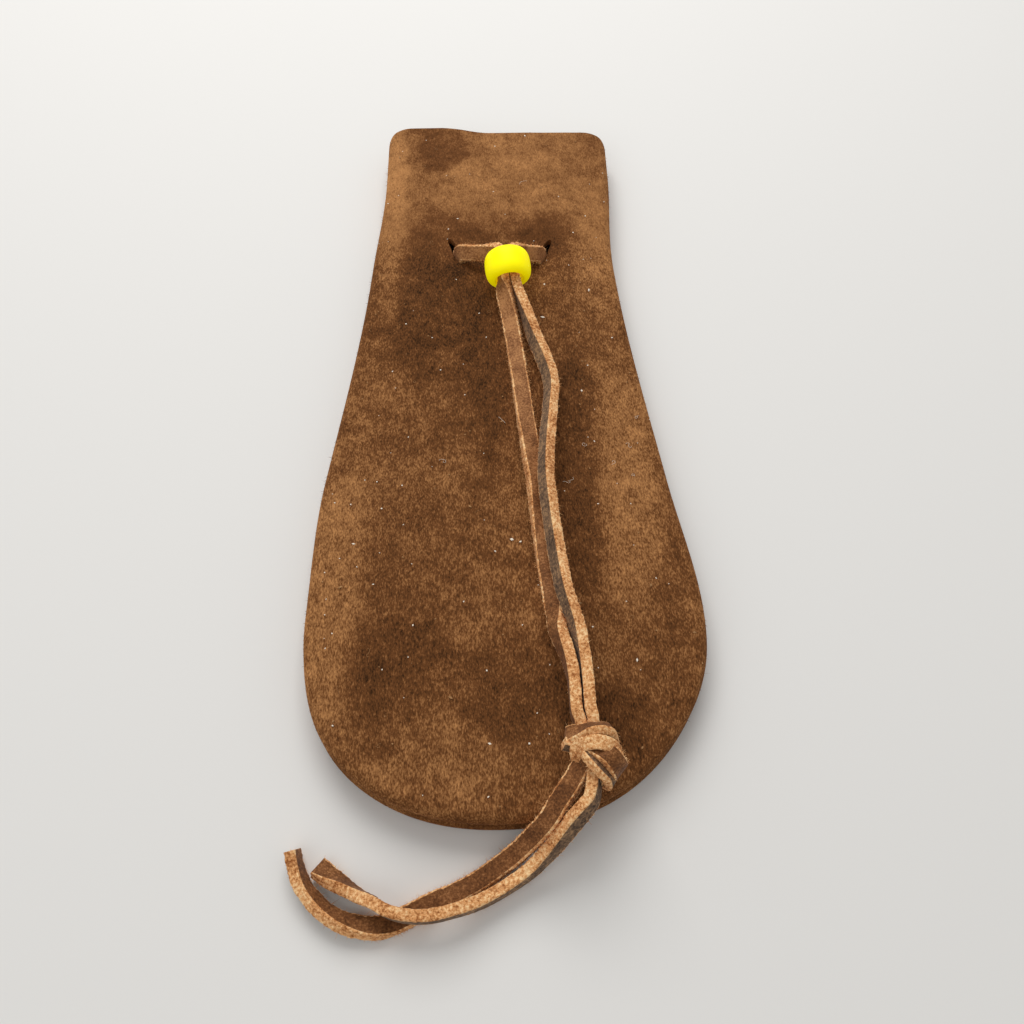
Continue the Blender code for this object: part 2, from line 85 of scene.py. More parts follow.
FIBRE_CORNERS = (0.0, 2.0944, 4.1888)   # three corners round a fibre, in radians
ASKEW = (0.31, 0.52, 0.79)      # a direction that few fibres lie along
EDGE_FIBRE = 0.028 * MM         # half the breadth of a loose fibre on a cut edge
FIBRE_DEPTH = 0.05 * MM         # how deep in the edge it starts
NAP_FIBRE = 0.034 * MM          # and of a nap fibre
NAP_ROOT = 0.03                 # how deep a nap fibre starts, in millimetres
FIBRE_FLOOR = 0.0001            # a fibre whose tip would come lower is left out
SPECK_SIZE = 0.115              # usual half breadth of a lint speck, in millimetres
CURL_STEP = 0.16 * MM
CURL_RADIUS = 0.026 * MM
SPECK_MARGIN, CURL_MARGIN = 1.5 * MM, 4 * MM    # how far from the bag's edge they stay
TOP_SIDE = 1.5 * MM             # what lies this far over the front's edge is its upper side
LOOP_SEED, KNOT_SEED, NAP_SEED, LINT_SEED = 11, 40, 61, 71

CAMERA_X, CAMERA_Y = -0.00015, -0.1109
SENSOR_WIDTH = 36.0             # in millimetres
# Each lamp's place, size and power.
LAMPS = {"key": ((-0.05, 0.36, 0.44), 0.42, 2.3), "fill": ((-0.35, -0.45, 0.60), 0.60, 1.0)}
ROOM_LIGHT = 0.42
FLOOR_HALF = 3.0

PANEL_LOW, PANEL_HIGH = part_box("front_panel")
BEAD_LOW, BEAD_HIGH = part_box("bead")
BAG_LENGTH = -2 * PANEL_LOW.y
BAG_WIDTH = PANEL_HIGH.x - PANEL_LOW.x
FRONT_BOTTOM = PANEL_LOW.z

# Routes of the lace, in millimetres: x, y above the bag's bottom edge, z, then how the flat lace
# leans: 0 lies flat, 90 stands on edge, less than 90 leans its upper edge to the right or outward.
STRAND_LEFT = [
    (0.70, 104.6, 12.85, 90), (0.82, 102.4, 12.2, 75), (0.85, 101.3, 11.85, 58), (1.0, 100.0, 11.45, 40),
    (1.15, 98.8, 11.1, 31), (1.5, 97.0, 10.6, 24), (2.0, 93.8, 9.95, 14), (2.7, 88.0, 9.4, 8),
    (3.5, 80.3, 9.2, 0), (4.3, 72.0, 9.25, -5), (5.0, 64.6, 9.5, -15),
    (5.8, 57.0, 9.7, -22), (6.3, 50.1, 9.5, -12), (7.0, 42.0, 9.25, 0),
    (7.8, 35.5, 9.4, 10), (8.2, 31.7, 10.0, 36), (8.5, 28.5, 10.9, 62), (9.8, 23.5, 12.3, 80),
    (10.4, 19.5, 12.6, 89), (10.5, 15.1, 12.6, 90),
]
STRAND_RIGHT = [
    (2.80, 104.8, 12.9, 90), (3.15, 102.2, 12.2, 94), (3.75, 99.7, 11.6, 95), (4.95, 95.5, 11.0, 84),
    (6.5, 89.3, 10.6, 66), (8.2, 84.0, 10.3, 62), (9.3, 78.5, 10.3, 60), (8.7, 71.7, 10.9, 60),
    (7.9, 64.1, 11.9, 60), (7.5, 57.5, 12.4, 60), (7.9, 50.5, 12.2, 60), (8.6, 43.5, 11.9, 60),
    (9.5, 36.2, 12.5, 62), (10.4, 32.2, 12.8, 66), (11.4, 28.5, 12.8, 73), (12.1, 23.5, 12.7, 82),
    (12.5, 19.5, 12.7, 89), (12.6, 15.15, 12.7, 90),
]
TAIL_LEFT = [
    (9.2, 4.1, 10.9, 12), (7.4, 1.8, 10.1, 10), (5.9, -0.2, 9.0, 6), (4.2, -1.7, 6.9, 3),
    (1.5, -3.6, 4.0, 0), (-1.4, -5.4, 2.0, 0), (-5.3, -7.7, 1.1, 0), (-9.0, -9.4, 1.0, 0),
    (-11.8, -10.5, 1.0, 0), (-14.5, -11.8, 1.0, 0), (-17.4, -13.1, 1.05, 4), (-20.6, -13.6, 1.4, 22),
    (-24.3, -12.9, 1.85, 45), (-27.2, -11.3, 1.95, 55), (-29.5, -9.2, 1.95, 60),
    (-31.0, -7.2, 1.95, 68), (-32.1, -4.6, 2.1, 76), (-32.6, -2.6, 2.6, 80),
]
TAIL_RIGHT = [
    (12.1, 1.9, 11.6, 112), (10.8, 0.4, 10.9, 114), (9.2, -1.1, 9.2, 112), (7.5, -2.7, 7.1, 108),
    (5.3, -4.6, 4.8, 102), (2.6, -6.7, 3.1, 98), (-1.0, -8.8, 2.5, 94), (-4.6, -10.6, 2.9, 92),
    (-8.1, -11.8, 3.8, 90), (-11.5, -12.5, 4.0, 90), (-14.6, -12.5, 4.0, 90), (-17.6, -11.8, 4.0, 88),
    (-20.1, -10.4, 3.3, 84), (-22.6, -9.1, 2.0, 76), (-25.1, -7.6, 1.8, 60), (-27.1, -6.3, 1.5, 36),
    (-28.8, -5.0, 1.2, 12),
]
# The stretch through the slits: x, y, z and the way the lace's breadth points, left half first.
LOOP_LEFT = [
    (0.66, 104.9, 12.9, (0, 0, 1)), (0.42, 107.2, 13.3, (0, 0, 1)), (0.2, 108.6, 13.2, (0, 0.04, 1)),
    (-0.6, 109.5, 12.6, (0, 0.28, 0.96)), (-1.9, 110.1, 11.75, (0, 0.52, 0.85)),
    (-3.4, 110.7, 10.95, (0, 0.66, 0.75)), (-5.0, 111.35, 10.3, (-0.05, 0.74, 0.67)),
    (-6.5, 112.15, 9.65, (-0.2, 0.8, 0.57)), (-7.65, 112.9, 8.75, (-0.4, 0.88, 0.25)),
    (-7.94, 113.15, 7.3, (-0.454, 0.891, 0.03)), (-7.94, 113.2, 5.9, (-0.454, 0.891, 0)),
    (-7.94, 113.25, 4.3, (-0.454, 0.891, 0)), (-7.9, 113.3, 2.9, (-0.454, 0.891, 0)),
    (-7.5, 113.4, 1.5, (-0.3, 0.95, 0)), (-6.4, 113.7, 0.98, (-0.1, 1, 0)), (-4.5, 114.0, 0.97, (0, 1, 0)),
    (0, 114.2, 0.97, (0, 1, 0)),
]
LOOP_RIGHT = [
    (4.5, 113.9, 0.97, (0, 1, 0)), (6.4, 113.4, 0.98, (0.1, 1, 0)), (7.8, 113.0, 1.5, (0.3, 0.95, 0)),
    (8.35, 112.8, 2.9, (0.454, 0.891, 0)), (8.39, 112.75, 4.3, (0.454, 0.891, 0)),
    (8.39, 112.7, 5.9, (0.454, 0.891, 0)), (8.39, 112.65, 7.3, (0.454, 0.891, 0.03)),
    (8.05, 112.4, 8.75, (0.4, 0.88, 0.25)), (7.1, 111.6, 9.6, (0.2, 0.8, 0.57)),
    (5.8, 110.9, 10.5, (0.05, 0.72, 0.69)), (4.5, 110.35, 11.45, (0, 0.58, 0.81)),
    (3.3, 109.6, 12.55, (0, 0.28, 0.96)), (2.6, 108.6, 13.2, (0, 0.04, 1)), (2.48, 107.3, 13.3, (0, 0, 1)),
    (2.74, 105.15, 12.95, (0, 0, 1)),
]

# What the knot hides of the strands and the tails, in the same numbers.
LEFT_END = [(10.9, 13.6, 12.2, 90), (11.3, 12.0, 11.6, 90)]
RIGHT_END = [(12.9, 13.6, 12.4, 90), (12.9, 12.0, 11.6, 90)]
TAIL_LEFT_ROOT = [(12.0, 8.6, 11.9, 30), (10.8, 6.5, 11.7, 18)]
TAIL_RIGHT_ROOT = [(12.7, 6.4, 11.9, 100), (12.6, 4.2, 12.1, 106)]

# The knot's turns, in millimetres from its middle: x, y, z and the way the lace's breadth points.
KNOT_MIDDLE = (12.6, 8.9, 12.3)
KNOT_CORE = (2.5, 3.5, 2.2)     # half sizes of the core that the turns lie over
KNOT_COLLAR = [
    (-1.0, 2.2, -3.3, (0, 0.9, 0.4)), (-2.6, 2.3, -2.6, (0.1, 0.95, 0.2)), (-3.2, 2.35, -1.1, (0.1, 0.95, 0)),
    (-3.0, 2.25, 0.2, (0.15, 0.88, -0.3)), (-1.5, 2.15, 1.6, (0.22, 0.75, -0.6)),
    (0.15, 2.3, 3.0, (0, 0.5, -0.87)), (2.05, 2.35, 2.55, (-0.15, 0.55, -0.82)),
    (2.75, 1.95, 1.3, (-0.28, 0.78, -0.54)), (3.1, 1.25, 0.1, (-0.15, 0.92, -0.2)),
    (3.1, 0.8, -1.4, (-0.2, 0.95, 0.1)), (2.1, 1.1, -2.9, (0, 0.9, 0.4)), (0.6, 1.8, -3.4, (0, 0.9, 0.4)),
]
KNOT_ARCH = [
    (-1.5, -0.9, -1.0, (-0.6, -0.5, 0.6)), (-1.85, -0.1, 0.07, (-0.55, -0.4, 0.73)),
    (-1.4, 0.35, 0.85, (-0.6, -0.3, 0.74)), (-0.35, 0.42, 2.15, (-0.35, -0.22, 0.91)),
    (1.05, 0.2, 2.95, (0.02, -0.2, 0.98)), (2.15, -0.2, 2.15, (0.4, -0.22, 0.89)),
    (2.4, -0.5, 0.95, (0.75, -0.25, 0.61)), (2.1, -0.8, -0.6, (0.85, -0.3, 0.3)),
]
KNOT_INNER = [
    (-0.9, 0.6, 0.1, (-0.62, -0.5, 0.58)), (-0.7, -0.7, 1.5, (-0.6, -0.55, 0.58)),
    (0.0, -2.1, 2.2, (-0.6, -0.55, 0.58)), (1.1, -3.3, 1.9, (-0.58, -0.58, 0.58)),
    (2.2, -4.0, 1.0, (-0.55, -0.62, 0.55)), (2.6, -4.2, -0.3, (-0.5, -0.75, 0.35)),
    (2.4, -4.2, -1.5, (-0.45, -0.85, 0.1)), (1.4, -3.4, -2.3, (-0.4, -0.9, 0)),
]
KNOT_OUTER = [
    (-0.4, 0.6, 1.2, (-0.72, -0.69, 0.1)), (0.6, -0.35, 2.35, (-0.71, -0.7, 0.1)),
    (1.95, -1.5, 3.15, (-0.7, -0.7, 0.1)), (3.0, -2.5, 2.5, (-0.7, -0.71, 0.08)),
    (3.55, -3.05, 1.2, (-0.68, -0.73, 0.06)), (3.5, -3.1, -0.4, (-0.62, -0.78, 0)),
    (2.7, -2.8, -1.8, (-0.5, -0.85, 0)), (1.4, -2.2, -2.6, (-0.4, -0.9, 0)),
]
KNOT_STUB = [
    (-1.6, 0.7, -0.6, (0.25, 0.35, 0.9)), (-2.9, 0.75, 0.0, (0.25, 0.35, 0.9)),
    (-4.25, 0.95, 0.45, (0.25, 0.35, 0.9)),
]
# For each turn: its route, whether its grain side faces out, its width and its thickness.
KNOT_TURNS = {
    "collar": (KNOT_COLLAR, True, 0.0031, 0.0015), "arch": (KNOT_ARCH, True, 0.0031, 0.0022),
    "inner": (KNOT_INNER, True, 0.0027, 0.0014), "outer": (KNOT_OUTER, False, 0.0032, 0.0013),
    "stub": (KNOT_STUB, True, 0.0020, 0.0014),
}
# How far each slit gapes from its lower end to its upper one, as a share of its width.
SLIT_FORM = [
    (0, 0.35), (0.05, 0.75), (0.1, 1), (0.3, 1), (0.54, 1), (0.64, 0.76), (0.76, 0.66), (0.9, 0.58),
    (0.97, 0.36), (1, 0.12),
]

# Colours of the two suedes, from brushed dark to brushed light.
SUEDES = {
    "buffed_split_suede": ("#35200E", "#784B28", "#C68E58"),
    # The back's colours are the front's a shade darker: painted shade on the panel that lies underneath.
    "buffed_split_suede_back_painted_shade": ("#331F0E", "#704625", "#B27E4B"),
}
# For each side of the lace: its colours, roughness, pore size and bump in millimetres, how far its
# tone swings, and how much paler it is towards the bead.
LACE_SIDES = {
    "lace_grain_side": (("#543219", "#80512D", "#B47E4F"), 0.62, 0.35, 0.05, 0.5, 0.34),
    "lace_flesh_side": (("#43342A", "#765C46", "#AD8760"), 0.85, 0.5, 0.10, 0.6, 0.1),
    "lace_cut_edge": (("#93562A", "#E0A167", "#FFD9A2"), 0.9, 0.42, 0.16, 0.65, 0.0),
}
# For lint and thread: colour, roughness, size of its tones in millimetres and its darkest tone.
LOOSE_FIBRES = {
    "white_lint": ("#FFF1DC", 0.8, 0.3, 0.8), "tan_lint": ("#B98A5A", 0.8, 0.6, 0.6),
    "waxed_seam_thread": ("#4A2E1C", 0.6, 0.3, 0.6),
}
SIDE_SLOT = {"grain": 0, "flesh": 1, "edge": 2}

# How the nap lies, with painted light and shade among it: x and y of a patch's middle, its half width
# and half height, in millimetres, and its tone, where less than 0 is darker and more than 0 is lighter.
# Most patches are brushed dark or brushed light nap; the lighter neck, the light bands along the sides
# and the dark patches beside the two strands are painted light, painted highlight and painted shadow.
# A last number gives how soft its edge is, where that isn't PATCH_EDGE.
NAP_AND_PAINTED_LIGHT_PATCHES = [
    # The first patch, over the neck, is painted light: the neck lighter, as the lamp at the mouth side lights
    # it.
    (0.0, 141.0, 27.0, 20.0, 0.36), (-12.0, 145.5, 5.0, 8.5, -0.34, 0.35), (-12.0, 115.0, 9.0, 8.0, -0.3),
    # The patch at -3, 86 is painted shadow beside the left strand.
    (9.0, 119.0, 6.0, 5.0, -0.3), (-13.0, 98.0, 10.0, 14.0, -0.4), (-3.0, 86.0, 4.0, 20.0, -0.35),
    # The patch at 13, 62 is painted shadow beside the right strand.
    (13.0, 62.0, 4.5, 26.0, -0.35), (-4.0, 45.0, 10.0, 22.0, 0.1), (-17.0, 26.0, 8.0, 9.0, -0.25),
    # The patch at -22, 128 is a painted highlight along the left edge of the neck.
    (3.0, 20.0, 9.0, 10.0, -0.3), (16.0, 14.0, 7.0, 6.0, -0.3), (-22.0, 128.0, 3.0, 28.0, 0.5),
    # The patches at -29, 40, at 22, 60 and at 20, 112 are painted highlight along the rolled side edges.
    (-29.0, 40.0, 5.0, 26.0, 0.45), (22.0, 60.0, 6.0, 26.0, 0.35), (20.0, 112.0, 5.0, 18.0, 0.35),
    (2.0, 134.0, 12.0, 8.0, 0.2), (-9.0, 7.0, 13.0, 5.0, 0.25), (-20.0, 70.0, 7.0, 16.0, 0.15),
]
PATCH_EDGE = 0.9
# From which height to which, in millimetres, the nap gets smoother, and how crisp it is below and above.
SMOOTH_NAP = (110.0, 122.0, 0.9, 0.5)


def in_metres(label, about, value):
    """A setting that is a length."""
    return FloatProperty(name=label, description=about, default=value, unit="LENGTH")


def in_degrees(label, about, value):
    """A setting that is an angle. Blender keeps it in radians."""
    return FloatProperty(name=label, description=about, default=math.radians(value), unit="ROTATION")


def plain(label, about, value):
    """A setting without a unit."""
    return FloatProperty(name=label, description=about, default=value)


class OutlineSizes(bpy.types.PropertyGroup):
    mouth_width: in_metres("Mouth width", "Width of the straight neck at the mouth", 0.0482)
    bulge_height: in_metres("Bulge height", "Height of the widest place above the bottom edge", 0.0325)
    flare_length: in_metres("Flare length", "From the widest place up to the straight neck", 0.098)
    flare_ease: plain("Flare ease", "Under 1, the sides turn in soon above the bulge", 0.82)
    bottom_fullness: plain("Bottom fullness", "2 is an ellipse, more is squarer", 2.2)
    mouth_corner: in_metres("Mouth corner", "Radius at the two ends of the mouth", 0.0052)
    mouth_cut: in_metres("Mouth cut", "How far its right part is cut below its left end", 0.0021)
    mouth_cut_from: in_metres("Mouth cut from", "How far right of the middle that starts", -0.013)
    mouth_cut_reach: in_metres("Mouth cut reach", "How far the edge takes to come down to it", 0.0115)
    side_sway: in_metres("Side sway", "How far the flare leans to the left", 0.0012)
    side_sway_low: in_metres("Side sway from", "Height where that starts", 0.034)
    side_sway_high: in_metres("Side sway to", "Height where that ends", 0.137)
    side_sway_ease: in_metres("Side sway ease", "How far it takes to come in", 0.026)
    foot_sway: in_metres("Foot sway", "How far the round bottom leans to the left", 0.0013)
    foot_sway_high: in_metres("Foot sway to", "Height where that ends", 0.028)
    foot_sway_ease: in_metres("Foot sway ease", "How far it takes to come in", 0.021)
    crown: in_metres("Crown", "How far the front stands over its edge", 0.001)
    crown_reach: in_metres("Crown reach", "How far in from the edge the front keeps rising", 0.011)
    mouth_crown: plain("Mouth crown", "The share of the crown that is left at the mouth", 0.05)
    mouth_crown_reach: in_metres("Mouth crown reach", "How far below the mouth the crown is whole", 0.016)


class SuedeLook(bpy.types.PropertyGroup):
    thickness: in_metres("Thickness", "Thickness of the suede", 0.0014)
    seam_allowance: in_metres("Seam allowance", "How far the turned edge reaches inside", 0.0048)
    slit_spread: in_metres("Slit spread", "Distance between the two slits", 0.0176)
    slit_shift: in_metres("Slit shift", "How far both lie to the right", 0.0002)
    slit_from_mouth: in_metres("Slits from mouth", "From the mouth down to the slits", 0.0383)
    slit_drop: in_metres("Slit drop", "How much lower the right one is", 0.0006)
    slit_length: in_metres("Slit length", "Length of each slit", 0.0079)
    slit_width: in_metres("Slit width", "How far the lace holds each slit open", 0.002)
    slit_lean: in_degrees("Slit lean", "How far their upper ends lean outward", 25)
    stitch_spacing: in_metres("Stitch spacing", "Distance from stitch to stitch", 0.0026)
    stitch_inset: in_metres("Stitch inset", "From the folded edge to the seam", 0.00135)
    thread_diameter: in_metres("Thread diameter", "Diameter of the seam thread", 0.0004)


class LaceLook(bpy.types.PropertyGroup):
    width: in_metres("Width", "Width of the flat lace", 0.0031)
    thickness: in_metres("Thickness", "Thickness of the lace", 0.0018)
    corner: in_metres("Corner", "Radius of its cut corners", 0.00028)
    step: in_metres("Step", "Spacing of its sections", 0.00035)
    fray: in_metres("Fray", "How uneven the cut edges are", 0.00016)
    fibre_length: in_metres("Fibre length", "Usual length of a loose fibre", 0.00042)
    fibres_per_mm: plain("Fibres per mm", "Loose fibres on each millimetre of cut edge", 9.0)


class BeadLook(bpy.types.PropertyGroup):
    bore: in_metres("Bore", "Diameter of the hole", 0.0054)
    lip: in_metres("Lip", "Mouth of the hole between its rounded rims", 0.0058)
    flare: in_metres("Flare", "Depth of that mouth", 0.0011)
    fullness: plain("Fullness", "2 is round, more is squarer", 2.7)
    length: in_metres("Length", "Length along the hole", 0.0058)
    diameter: in_metres("Diameter", "Across the bead", 0.009)
    turn: in_degrees("Turn", "Turn of the hole's axis from the bag's length", 6.5)
    pitch: in_degrees("Pitch", "How far its lower end dips towards the suede", 13)
    lift: in_metres("Lift", "What the dip adds to its height", 0.00015)


class LintLook(bpy.types.PropertyGroup):
    specks: IntProperty(name="Specks", description="Number of lint specks on the front", default=230)
    curls: IntProperty(name="Curls", description="Number of curled fibres on the front", default=34)
    nap_fibres: IntProperty(name="Nap fibres", description="Loose nap fibres on the front", default=40000)
    nap_length: in_metres("Nap length", "Usual length of a nap fibre", 0.00034)


class StageLook(bpy.types.PropertyGroup):
    camera_height: in_metres("Camera height", "Height of the lens over the floor", 0.15841)
    camera_pitch: in_degrees("Camera pitch", "How far the camera looks down", 60)
    camera_turn: in_degrees("Camera turn", "How far the camera is turned about the upright", -1.103)
    lens: plain("Lens", "Focal length in millimetres", 35.156)


GROUPS = {
    "outline": OutlineSizes, "suede": SuedeLook, "lace": LaceLook, "bead": BeadLook,
    "lint": LintLook, "stage": StageLook,
}


class BagSettings(bpy.types.PropertyGroup):
    outline: PointerProperty(type=OutlineSizes)
    suede: PointerProperty(type=SuedeLook)
    lace: PointerProperty(type=LaceLook)
    bead: PointerProperty(type=BeadLook)
    lint: PointerProperty(type=LintLook)
    stage: PointerProperty(type=StageLook)


def settings():
    return bpy.context.scene.medicine_bag


def linear(hex_colour):
    """A colour written as sRGB hex, turned to the linear values that a shader takes."""
    parts = [int(hex_colour[i:i + 2], 16) / 255 for i in (1, 3, 5)]
    return [c / 12.92 if c <= 0.04045 else ((c + 0.055) / 1.055) ** 2.4 for c in parts] + [1.0]


def per_metre(size_mm):
    """The scale of a noise whose features are that many millimetres."""
    return 1 / (size_mm * MM)


def add_node(tree, kind, inputs, **values):
    """A shader node with its settings, and its inputs set or linked."""
    made = tree.nodes.new(kind)
    for name, value in values.items():
        setattr(made, name, value)
    for key, value in inputs.items():
        if isinstance(value, bpy.types.NodeSocket):
            tree.links.new(value, made.inputs[key])
        else:
            made.inputs[key].default_value = value
    return made


def new_material(name, roughness, **sockets):
    made = bpy.data.materials.new(name)
    made.use_nodes = True
    shader = made.node_tree.nodes["Principled BSDF"]
    shader.inputs["Roughness"].default_value = roughness
    for key, value in sockets.items():
        shader.inputs[key.replace("_", " ")].default_value = value
    return made, made.node_tree, shader


def noise_of(tree, place, size_mm, detail=3.0, roughness=0.55, distortion=0.0):
    made = add_node(tree, "ShaderNodeTexNoise", {
        "Vector": place, "Scale": per_metre(size_mm), "Detail": detail,
        "Roughness": roughness, "Distortion": distortion})
    return made.outputs["Fac"]


def spread(tree, value, low, high, to_low=0.0, to_high=1.0):
    made = add_node(tree, "ShaderNodeMapRange", {
        "Value": value, "From Min": low, "From Max": high, "To Min": to_low, "To Max": to_high})
    return made.outputs["Result"]


def wander(tree, place, size_mm, gain, low=0.3, high=0.7, **look):
    """Noise that swings between -gain and gain."""
    return spread(tree, noise_of(tree, place, size_mm, **look), low, high, -gain, gain)


def blend_colours(tree, share, low, high):
    made = add_node(tree, "ShaderNodeMix", {0: share, 6: low, 7: high}, data_type="RGBA")
    return made.outputs[2]


def three_colours(tree, tone, hexes, reach):
    """The first colour where the tone is -reach, the second where it is 0, the third at reach."""
    low = blend_colours(tree, spread(tree, tone, -reach, 0.0), linear(hexes[0]), linear(hexes[1]))
    return blend_colours(tree, spread(tree, tone, 0.0, reach), low, linear(hexes[2]))


def finish_shader(tree, shader, colour, height, strength, depth):
    """Links the colour, and a bump of that height, strength and depth in metres."""
    tree.links.new(colour, shader.inputs["Base Color"])
    bump = add_node(tree, "ShaderNodeBump", {"Height": height, "Strength": strength, "Distance": depth})
    tree.links.new(bump.outputs["Normal"], shader.inputs["Normal"])


def total(tree, *values):
    """The sum of several values."""
    found = values[0]
    for value in values[1:]:
        found = add_node(tree, "ShaderNodeMath", {0: found, 1: value}, operation="ADD").outputs[0]
    return found


def stretched(tree, scale, turn=0.0):
    """The object's own coordinates in metres, stretched along one axis."""
    place = add_node(tree, "ShaderNodeTexCoord", {}).outputs["Object"]
    made = add_node(tree, "ShaderNodeMapping", {"Vector": place, "Rotation": (0, 0, turn), "Scale": scale})
    return made.outputs["Vector"]


def suede_material(name, hexes):
    """Chrome-tanned split hide, buffed to a short nap: matt, mottled where the nap is brushed.

    The eye sees soft dark and light patches under a crisp grain of single fibre tufts; some of
    the patches, which the points carry, are painted highlight and painted shadow. The tufts
    are drawn at 0.22 mm, about twice their real size, because finer ones blur together here.
    """
    made, tree, shader = new_material(
        name, 0.95, Sheen_Weight=0.12, Sheen_Roughness=0.4, Sheen_Tint=linear("#C88A50"),
        Specular_IOR_Level=0.1, Diffuse_Roughness=0.5)
    place = stretched(tree, (1, 1, 1))
    combed = stretched(tree, (1, 0.42, 1), math.radians(24))
    # The points' tone: brushed nap patches, with painted highlight and painted shadow among them.
    patch_tone_and_painted_light = add_node(tree, "ShaderNodeAttribute", {}, attribute_name="nap_tone_and_painted_light").outputs["Fac"]
    broad = wander(tree, place, 15, 0.14, distortion=0.5)
    blotch = wander(tree, place, 3.2, 0.24, roughness=0.6, distortion=0.4)
    tuft = wander(tree, combed, 0.62, 0.28, detail=2, roughness=0.6, distortion=0.5)
    grain = wander(tree, combed, 0.22, 0.6, 0.25, 0.75, detail=1, roughness=0.6)
    crisp = add_node(tree, "ShaderNodeAttribute", {}, attribute_name="nap_crisp").outputs["Fac"]
    crisp_tone = add_node(
        tree, "ShaderNodeMath", {0: total(tree, tuft, grain), 1: crisp}, operation="MULTIPLY").outputs[0]
    tone = total(tree, patch_tone_and_painted_light, broad, blotch, crisp_tone)
    height = total(tree, noise_of(tree, combed, 0.3, roughness=0.7), noise_of(tree, place, 1.2, detail=2))
    finish_shader(tree, shader, three_colours(tree, tone, hexes, 1.0), height, 0.6, 0.2 * MM)
    return made


def lace_face_material(name, hexes, roughness, pore_mm, bump_mm, gain, paler):
    """One side of a cut leather lace. The grain side is closed and pored, the flesh side is felted.

    Both faces are paler higher up the bag, towards the bead.
    """
    made, tree, shader = new_material(name, roughness, Specular_IOR_Level=0.1, Sheen_Weight=0.05)
    place = stretched(tree, (1, 1, 1))
    broad = wander(tree, place, 3.2, 0.3, 0.32, 0.68, roughness=0.6)
    fine = wander(tree, place, pore_mm, gain, roughness=0.7)
    up_the_bag = add_node(tree, "ShaderNodeSeparateXYZ", {0: place}).outputs["Y"]
    tone = total(tree, broad, fine, spread(tree, up_the_bag, -0.05, 0.02, -0.3 * paler, paler))
    height = noise_of(tree, place, pore_mm * 1.3, detail=4, roughness=0.7)
    finish_shader(tree, shader, three_colours(tree, tone, hexes, 0.6), height, 0.6, bump_mm * MM)
    return made


def plastic_material():
    """Opaque polystyrene with a fluorescent yellow pigment, injection moulded and tumbled.

    The small yellow glow is painted light: it makes the bead brighter all over than the lamps alone do.
    """
    made, tree, shader = new_material(
        "yellow_polystyrene_with_painted_glow", 0.5, IOR=1.55, Specular_IOR_Level=0.12,
        # The emission is a painted glow that brightens the bead all over.
        Emission_Color=linear("#FFEA00"), Emission_Strength=0.30)
    place = stretched(tree, (1, 1, 1))
    tone = spread(tree, noise_of(tree, place, 2.5, detail=2), 0.35, 0.65)
    colour = blend_colours(tree, tone, linear("#FAEE00"), linear("#FFF600"))
    finish_shader(tree, shader, colour, noise_of(tree, place, 0.7, detail=2), 0.12, 0.06 * MM)
    return made


def fibre_material(name, hex_colour, roughness, size_mm, darkest):
    """Lint or thread: spun or loose fibre, matt, a little uneven in tone."""
    made, tree, shader = new_material(name, roughness, Specular_IOR_Level=0.2)
    tone = spread(tree, noise_of(tree, stretched(tree, (1, 1, 1)), size_mm, detail=2), 0.3, 0.7)
    base = linear(hex_colour)
    darker = [c * darkest for c in base[:3]] + [1.0]
    tree.links.new(blend_colours(tree, tone, darker, base), shader.inputs["Base Color"])
    return made


def material_named(name):
    """A material made once and then shared. The bead's is the only one that no table gives."""
    if name in bpy.data.materials:
        return bpy.data.materials[name]
    if name in SUEDES:
        return suede_material(name, SUEDES[name])
    if name in LACE_SIDES:
        return lace_face_material(name, *LACE_SIDES[name])
    if name in LOOSE_FIBRES:
        return fibre_material(name, *LOOSE_FIBRES[name])
    return plastic_material()


def bag_point(x, y, z):
    """A place given in millimetres above the bag's bottom edge, in the part's frame."""
    return Vector((x * MM, y * MM - BAG_LENGTH / 2, z * MM))


def add_object(name, data):
    made = bpy.data.objects.new(name, data)
    bpy.context.scene.collection.objects.link(made)
    return made


def mesh_of(name, bm):
    """A bmesh turned to a mesh, and freed."""
    mesh = bpy.data.meshes.new(name)
    bm.to_mesh(mesh)
    bm.free()
    return mesh


def add_piece(mesh, materials, body="bag"):
    """A finished mesh as a piece that rides on a body."""
    for name in materials:
        mesh.materials.append(material_named(name))
    made = add_object(mesh.name, mesh)
    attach(made, body)
    return made


def new_piece(name, bm, materials, body="bag", smooth_angle=60):
    """A piece from a bmesh, its faces turned outward and shaded smooth."""
    bmesh.ops.recalc_face_normals(bm, faces=bm.faces)
    mesh = mesh_of(name, bm)
    mesh.shade_smooth()
    mesh.set_sharp_from_angle(angle=math.radians(smooth_angle))
    return add_piece(mesh, materials, body)


def new_lace_piece(name, bm):
    return new_piece(name, bm, LACE_SIDES)


def smooth_route(points, parts):
    """Rows of numbers read from a smooth curve through every row of points."""
    rows = np.array(points, dtype=float)
    ends = np.vstack((2 * rows[0] - rows[1], rows, 2 * rows[-1] - rows[-2]))
    found = []
    for i in range(len(rows) - 1):
        a, b, c, d = ends[i:i + 4]
        for step in range(parts):
            t = step / parts
            found.append(0.5 * (2 * b + (c - a) * t + (2 * a - 5 * b + 4 * c - d) * t ** 2
                                + (3 * b - a - 3 * c + d) * t ** 3))
    found.append(rows[-1])
    return np.array(found)


def evenly(rows, step):
    """The same curve with sections at equal distances. The first three columns are in metres."""
    run = np.concatenate(([0.0], np.cumsum(np.linalg.norm(np.diff(rows[:, :3], axis=0), axis=1))))
    count = max(int(round(run[-1] / step)), 2)
    at = np.linspace(0, run[-1], count + 1)
    return np.stack([np.interp(at, run, rows[:, k]) for k in range(rows.shape[1])], axis=1)


